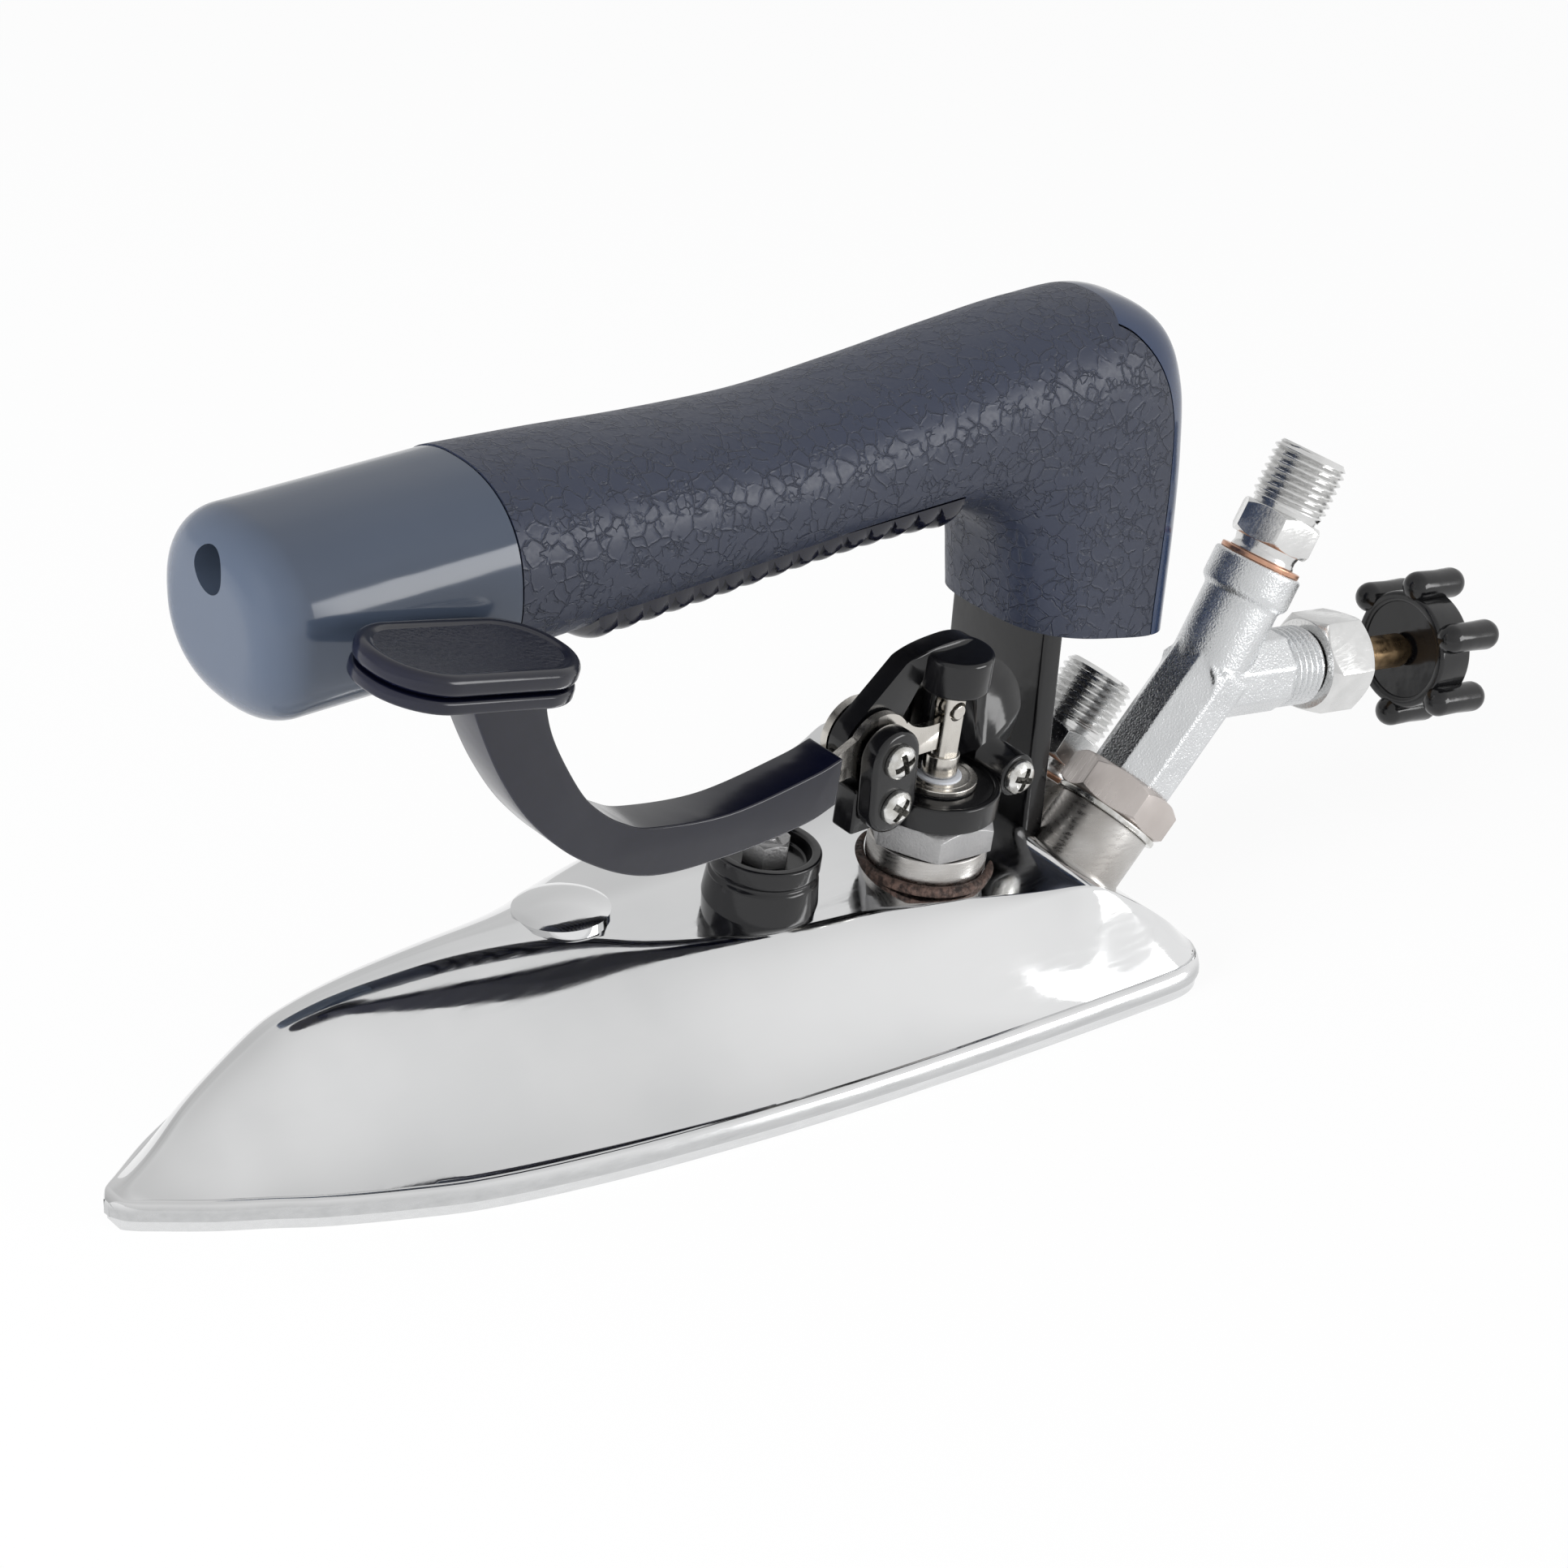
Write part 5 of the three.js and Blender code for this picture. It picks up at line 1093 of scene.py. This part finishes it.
def grip_form(stations=130):
    """The whole handle behind the cap, before it is parted."""
    rings = []
    for i in range(stations + 1):
        share = i / stations
        squareness = lerp(grip_squareness, column_squareness,
                          eased_step(share, column_start, column_full))
        rings.append(square_ring(along(top_line, share), along(under_line, share),
                                 grip_half_width * follow(handle_side_shares, share), squareness))
    return drape(rings)


def behind_seam(gap, count=60):
    """All that lies behind the seam of the back cover."""
    seam, outer = [], []
    for i in range(count + 1):
        share = lerp(cover_start, 1, i / count)
        top = along(top_line, share)
        inward = (along(under_line, share) - top).normalized()
        seam.append(top + inward * (cover_depth * eased_step(share, cover_ramp, cover_full) + gap))
        outer.append(top - inward * cover_depth)
    below = Vector((0, 0, -2 * cover_depth))
    loop = seam + [seam[-1] + below, outer[-1] + below] + outer[::-1]
    return slab([(spot.x, spot.z) for spot in loop], -0.04, 0.04)


finish = Finish("grip_leather", metallic=0.0)
wander = finish.node("TexNoise", None, {"Vector": finish.place, "Scale": 380, "Detail": 3},
                     "Color")
bent = finish.node("VectorMath", {"operation": "MULTIPLY_ADD"},
                   (wander, (0.0018, 0.0018, 0.0018), finish.place))


def creases(scale, width):
    edge = finish.node("TexVoronoi", {"feature": "DISTANCE_TO_EDGE"},
                       {"Vector": bent, "Scale": scale}, "Distance")
    return finish.band(edge, 0, width, 1, 0)


gaps = finish.band(finish.noise(380, 1), 0.36, 0.5)
patches = finish.band(finish.noise(300, 1), 0.53, 0.6)
skin = finish.noise(1500, 2)
both = finish.node("Math", {"operation": "MAXIMUM"},
                   (creases(340, 0.055) * gaps, creases(620, 0.08) * patches * 0.8))
# The creases are painted a little darker than the skin: painted shade in the creases, on top of
# their relief.
leather = finish.coat(both, (0.022, 0.028, 0.050), (0.018, 0.023, 0.041), skin, 0.4, 0.48,
                      skin * 0.1 + creases(340, 0.17) * gaps * 0.4 - both, 0.00019)
top_line = [handle_spot(*share) for share in handle_top_shares]
under_line = [handle_spot(*share) for share in handle_under_shares]
insert_front, insert_back = cap_seam_x + insert_start, column_front - insert_end
grip = carve(grip_form(), behind_seam(seam_gap))
carve(grip, block((insert_front - seam_gap, -insert_half_width - seam_gap, handle_bottom),
                  (insert_back + seam_gap, insert_half_width + seam_gap,
                   handle_bottom + insert_rise + seam_gap)))
carve(grip, settle(bracket_form(seam_gap), bracket_seat))
fit(smooth(grip, 42), "handle_grip", leather)

# Back cover
# A glossy dark blue moulded strip, let into the back of the handle from the top down the
# column, with a fine seam round it.
blue_gloss = (0.1, 0.17, 45, (90, 1), 0.00012)
fit(smooth(carve(grip_form(), behind_seam(0), "INTERSECT"), 42), "handle_back_cover",
    glossy("cover_gloss", (0.022, 0.040, 0.095), (0.028, 0.050, 0.11), *blue_gloss))

# Finger insert
# A glossy navy moulded strip with rounded ribs across it, pressed into a pocket under the
# grip for the fingers.
insert_drop, rib_depth, rib_count, rows_each, rib_power = 0.0026, 0.0019, 15, 14, 0.6
side_share, across_steps = 0.6, 24


def insert_row(x, drop):
    """One cross-section of the insert, from its near edge under to the far one and back above."""
    share = (x - cap_seam_x) / (column_front - cap_seam_x)
    high = lerp(handle_bottom, handle_top, follow(handle_top_shares, share))
    low = lerp(handle_bottom, handle_top, follow(handle_under_shares, share))
    side = grip_half_width * follow(handle_side_shares, share * side_share)
    points = []
    for i in range(across_steps + 1):
        y = lerp(-insert_half_width, insert_half_width, i / across_steps)
        sink = (1 - (abs(y) / side)**grip_squareness)**(1 / grip_squareness)
        points.append((x, y, (high + low) / 2 - (high - low) / 2 * sink - drop))
    roof = handle_bottom + insert_rise
    points += [(x, insert_half_width, roof), (x, 0, roof), (x, -insert_half_width, roof)]
    return points + points[:1]


rows = []
for i in range(rib_count * rows_each + 1):
    bulge = abs(sin(pi * i / rows_each))**rib_power
    rows.append(insert_row(lerp(insert_front, insert_back, i / (rib_count * rows_each)),
                           insert_drop - rib_depth * (1 - bulge)))
fit(smooth(drape(rows), 50), "finger_grip_insert", navy)

# End cap
# A glossy blue-grey moulding that closes the front of the handle, with a small blind hole
# in its face.
cap_length, cap_half_width, cap_height, cap_round = 0.043, 0.0175, 0.031, 0.0075
cap_above, cap_hole_radius, cap_hole_drop, cap_hole_depth = 0.0007, 0.0037, 0.0072, 0.015
face_rings, round_rings, side_rings = 8, 16, 8

cap_top = handle_top + cap_above
cap_front = cap_seam_x - cap_length


def cap_ring(x, shrink, share=1):
    middle = cap_top - cap_height / 2
    half = (cap_height / 2 - shrink) * share
    return square_ring(Vector((x, 0, middle + half)), Vector((x, 0, middle - half)),
                       (cap_half_width - shrink) * share, grip_squareness)


rings = [cap_ring(cap_front, cap_round, i / face_rings) for i in range(face_rings)]
for i in range(round_rings, -1, -1):
    angle = pi / 2 * i / round_rings
    rings.append(cap_ring(cap_front + cap_round * (1 - sin(angle)),
                          cap_round * (1 - cos(angle))))
rings += [cap_ring(lerp(cap_front + cap_round, cap_seam_x - seam_gap, i / side_rings), 0)
          for i in range(1, side_rings + 1)]
bore = settle(rod(cap_hole_radius, -cap_hole_depth, cap_hole_depth),
              Matrix.Translation((cap_front, 0, cap_top - cap_hole_drop))
              @ Matrix.Rotation(pi / 2, 4, "Y"))
fit(smooth(carve(drape(rings), bore)), "handle_end_cap",
    glossy("cap_gloss", (0.052, 0.068, 0.100), (0.059, 0.076, 0.110), *blue_gloss))

# Inlet boss, seal and union nut
# A steel tube welded into the heel slope, with a bright seal washer on it and a cast hexagon
# nut that draws the elbow down.
fitting_depth, fitting_bore = 0.003, 0.0036
seal_radius, seal_height = 0.0096, 0.001
union_across, union_height, union_turn = 0.018, 0.0066, radians(34)
union_chamfers = (0.0011, 0.0014)


def tube(outer, low, high, edge=0.0003):
    """A turned tube with its outer edges rounded."""
    return turned_round([(fitting_bore, low, 0), (outer, low), (outer, high),
                         (fitting_bore, high, 0)], edge)


finish = Finish("warm_nut", metallic=0.85)
cloudy, lines = finish.noise(160, 4), finish.noise(900, 3, 0.6, (0.3, 2.5, 0.3))
warm = finish.coat(cloudy, (0.47, 0.425, 0.40), (0.62, 0.575, 0.55), lines, 0.26, 0.42,
                   lines, 0.00002)
union_low = inlet_boss_height + seal_height
union_high = union_low + union_height
fit(tube(fitting_boss_radius, -fitting_depth, inlet_boss_height), "inlet_boss", boss_steel,
    inlet_seat)
fit(tube(seal_radius, inlet_boss_height, union_low), "inlet_seal_washer", zinc, inlet_seat)
fit(hexagon(union_across, union_low, union_high, union_chamfers, union_turn, fitting_bore),
    "inlet_union_nut", warm, inlet_seat)

# Elbow
# A zinc-plated casting with three legs: the lower one octagonal, the upper one round with a
# collar, and a branch that ends in a screw for the gland nut.
leg_half_across, upper_leg, elbow_collar, collar_length = 0.0071, 0.0163, 0.0079, 0.0056
round_leg_share, collar_foot_share = 0.96, 0.9
branch_leg, brass_radius = 0.016, 0.003
branch_thread_radius, branch_thread_depth, branch_thread_length = 0.0069, 0.0007, 0.0076
branch_pitch, branch_overlap = 0.0013, 0.0009
casting_grid, casting_rounds = 0.00028, 3


def screw_thread(radius, depth, pitch, low, high, bore, steps=72, fineness=14):
    """A screwed tube: a helical ridge round a bored bar, chamfered at its end."""
    angles = [2 * pi * i / steps for i in range(steps)]
    rows = []
    count = int((high - low) / pitch * fineness)
    for k in range(count + 1):
        z = lerp(low, high, k / count)
        ease = eased_step(z, low, low + pitch * 1.2)
        ring = []
        for i, angle in enumerate(angles):
            turn = (z / pitch - i / steps) % 1
            ridge = min(1, 1.25 * (1 - abs(2 * turn - 1)))
            reach = radius - depth * (1 - ridge) * ease - depth * (1 - ease) * 0.6
            reach = min(reach, radius - depth * 1.2 + (high - z) * 0.9)
            ring.append((reach * cos(angle), reach * sin(angle), z))
        rows.append(ring + ring[:1])
    for z in (high, low):
        ring = [(bore * cos(angle), bore * sin(angle), z) for angle in angles]
        rows.append(ring + ring[:1])
    return smooth(drape(rows + rows[:1]), 32)


def leg(half_across, low, high, sides):
    """A straight leg with flats, along Z."""
    bar = rod(half_across / cos(pi / sides), low, high, sides)
    return settle(bar, Matrix.Rotation(pi / sides, 4, "Z"))


branch_seat = seat_on(elbow_place, branch_up)
upper_seat = seat_on(elbow_place, Vector(mounts["steam_inlet"]["axis"]))
collar_foot, collar_top = upper_leg - collar_length / 4, upper_leg + collar_length
round_leg = leg_half_across * round_leg_share
elbow = settle(leg(leg_half_across, union_high, elbow_height + leg_half_across / 3, 8), inlet_seat)
unite(elbow,
      settle(leg(round_leg, -leg_half_across / 2, upper_leg + collar_length / 2, 48), upper_seat),
      settle(turned(rounded([
          (0, collar_foot, 0), (leg_half_across * collar_foot_share, collar_foot),
          (elbow_collar, upper_leg), (elbow_collar, collar_top), (0, collar_top, 0)], 0.0007)),
          upper_seat),
      settle(leg(round_leg, -leg_half_across / 2, branch_leg, 8), branch_seat))
work(elbow, "REMESH", mode="VOXEL", voxel_size=casting_grid)
smooth(work(elbow, "SMOOTH", iterations=casting_rounds), 60)
branch_thread = screw_thread(branch_thread_radius, branch_thread_depth, branch_pitch,
                             branch_leg - branch_overlap, branch_leg + branch_thread_length,
                             brass_radius)
finish = Finish("cast_zinc", metallic=1.0)
sand, cloudy = finish.noise(2600, 2, 0.6), finish.noise(120, 4)
grit = finish.node("TexVoronoi", None, {"Vector": finish.place, "Scale": 3200}, "Distance")
fit(join(elbow, settle(branch_thread, branch_seat)), "inlet_elbow", finish.coat(
    cloudy, (0.56, 0.57, 0.58), (0.76, 0.77, 0.78), sand, 0.2, 0.36, sand + grit * 0.5, 0.00009))

# Nipples and copper washers
# Two machined pipe nipples of plated steel, each with a hexagon and a tapered neck on a soft
# copper washer, and the boss of the outlet.
copper_radius, copper_height, copper_edge = 0.0072, 0.0009, 0.00025
neck_radius, neck_height, waist_share = 0.0059, 0.0024, 0.93
hex_length, nipple_across, nipple_chamfers, nipple_turn = 0.006, 0.0134, (0.0012, 0.0009), 0.3
thread_radius, thread_depth, thread_length, thread_pitch = 0.00658, 0.00086, 0.0114, 0.001337
overlap, relief_length, thread_gap = 0.0003, 0.0012, 0.0007


def nipple(low):
    """Neck, hexagon, relief and thread of a nipple that stands on its washer."""
    hex_low = low + neck_height
    hex_high = hex_low + hex_length
    return join(
        hexagon(nipple_across, hex_low, hex_high, nipple_chamfers, nipple_turn, fitting_bore),
        turned_round([
            (fitting_bore, low, 0), (neck_radius, low),
            (neck_radius * waist_share, low + neck_height * 0.45),
            (neck_radius, hex_low + overlap), (fitting_bore, hex_low + overlap, 0)], 0.0004),
        tube(thread_radius - thread_depth, hex_high - overlap, hex_high + relief_length, 0.0001),
        screw_thread(thread_radius, thread_depth, thread_pitch, hex_high + thread_gap,
                     hex_high + thread_length, fitting_bore))


finish = Finish("machined_zinc", metallic=1.0)
lines, cloudy = finish.noise(1100, 3, 0.6, (0.4, 2, 2)), finish.noise(260, 4)
machined = finish.coat(cloudy, (0.58, 0.58, 0.575), (0.80, 0.80, 0.795), lines, 0.12, 0.28,
                       lines, 0.00002)
finish = Finish("copper_disc", metallic=1.0)
cloudy = finish.noise(700, 4)
copper = finish.coat(cloudy, (0.50, 0.26, 0.17), (0.72, 0.44, 0.31), cloudy, 0.25, 0.42)
for seat, low, end in ((upper_seat, collar_top, "inlet"),
                       (outlet_seat, outlet_boss_height, "outlet")):
    fit(tube(copper_radius, low, low + copper_height, copper_edge), end + "_copper_washer", copper,
        seat)
    fit(nipple(low + copper_height), end + "_nipple", machined, seat)
fit(tube(fitting_boss_radius, -fitting_depth, outlet_boss_height), "outlet_boss", boss_steel,
    outlet_seat)

# Gland nut and flow spindle
# A machined hexagon closes the branch round a brass spindle that carries the handwheel.
# Both are turned from bar.
gland_across, gland_length, gland_turn = 0.016, 0.010, radians(52)
gland_chamfers = (0.0014, 0.0014)
branch_gap, stem_gap, stem_short = 0.00035, 0.0001, 0.0022
wheel_start, wheel_bore, ring_length, hub_length = 0.0469, 0.0022, 0.0074, 0.006
lobe_radius, lobe_length, lobe_circle, lobe_count = 0.0027, 0.0134, 0.0118, 6

nut_low = branch_leg + branch_thread_length + branch_gap
ring_low = wheel_start + lobe_radius / 2
ring_high = ring_low + ring_length
hub_high = ring_low + hub_length
fit(hexagon(gland_across, nut_low, nut_low + gland_length, gland_chamfers, gland_turn,
            brass_radius + stem_gap), "gland_nut", machined, branch_seat)
finish = Finish("dull_brass", metallic=1.0)
stain = finish.noise(500, 4)
brass = finish.coat(stain, (0.22, 0.14, 0.075), (0.42, 0.30, 0.17), stain, 0.25, 0.45)
fit(turned_round([
    (0, branch_leg, 0), (brass_radius, branch_leg, 0), (brass_radius, ring_low - branch_gap),
    (wheel_bore, ring_low - branch_gap, 0), (wheel_bore, hub_high - stem_short, 0),
    (0, hub_high - stem_short, 0)], 0.0003, steps=64), "flow_spindle", brass, branch_seat)

# Handwheel
# A black moulding: a thin rim with six round-ended lobes on a web and hub. It is held on its
# spindle by a slotted zinc screw.
rim_radius, rim_wall, hub_radius, web_height, web_step = 0.0104, 0.0019, 0.0042, 0.0022, 0.0006
hub_recess, lobe_steps, lobe_waist_share = 0.002, 8, 0.95
screw_radius, screw_head, screw_top = 0.0011, 0.00286, 0.0018
screw_edge, screw_rise, slot_half_width = 0.0007, 0.0014, 0.0004

wheel = turned(rounded([
    (rim_radius - rim_wall, ring_low), (rim_radius, ring_low), (rim_radius, ring_high),
    (rim_radius - rim_wall, ring_high)], 0.0008, 6))
web_low, web_high, web_edge = ring_low + web_step, ring_low + web_height, rim_radius - rim_wall / 2
screw_low = hub_high - hub_recess
unite(wheel, turned(rounded([
    (wheel_bore, web_low, 0), (web_edge, web_low, 0), (web_edge, web_high, 0),
    (hub_radius, web_high), (hub_radius, hub_high), (wheel_bore / 2, hub_high, 0),
    (wheel_bore / 2, screw_low, 0), (wheel_bore, screw_low, 0)], 0.0005, 6)))
profile = [(0, wheel_start)]
for i in range(1, lobe_steps + 1):
    angle = pi / 2 * i / lobe_steps
    profile.append((lobe_radius * sin(angle),
                    wheel_start + lobe_radius * (1 - cos(angle))))
waist = wheel_start + lobe_length / 2
profile.append((lobe_radius * lobe_waist_share, waist))
profile += [(radius, 2 * waist - height) for radius, height in profile[-2::-1]]
for i in range(lobe_count):
    unite(wheel, settle(turned(profile, 32), Matrix.Rotation(2 * pi * i / lobe_count, 4, "Z")
                        @ Matrix.Translation((lobe_circle, 0, 0))))
fit(smooth(wheel, 20), "handwheel", black, branch_seat)
screw = turned(rounded([
    (0, screw_low, 0), (screw_radius, screw_low, 0), (screw_radius, hub_high, 0),
    (screw_head, hub_high), (screw_head, hub_high + screw_edge, 0.0005),
    (screw_top, hub_high + screw_rise, 0.0006), (0, hub_high + screw_rise, 0)], 0.0002), 48)
carve(screw, block((-screw_head * 2, -slot_half_width, hub_high + screw_edge),
                   (screw_head * 2, slot_half_width, hub_high + 2 * screw_rise)))
fit(smooth(screw), "handwheel_screw", zinc, branch_seat)
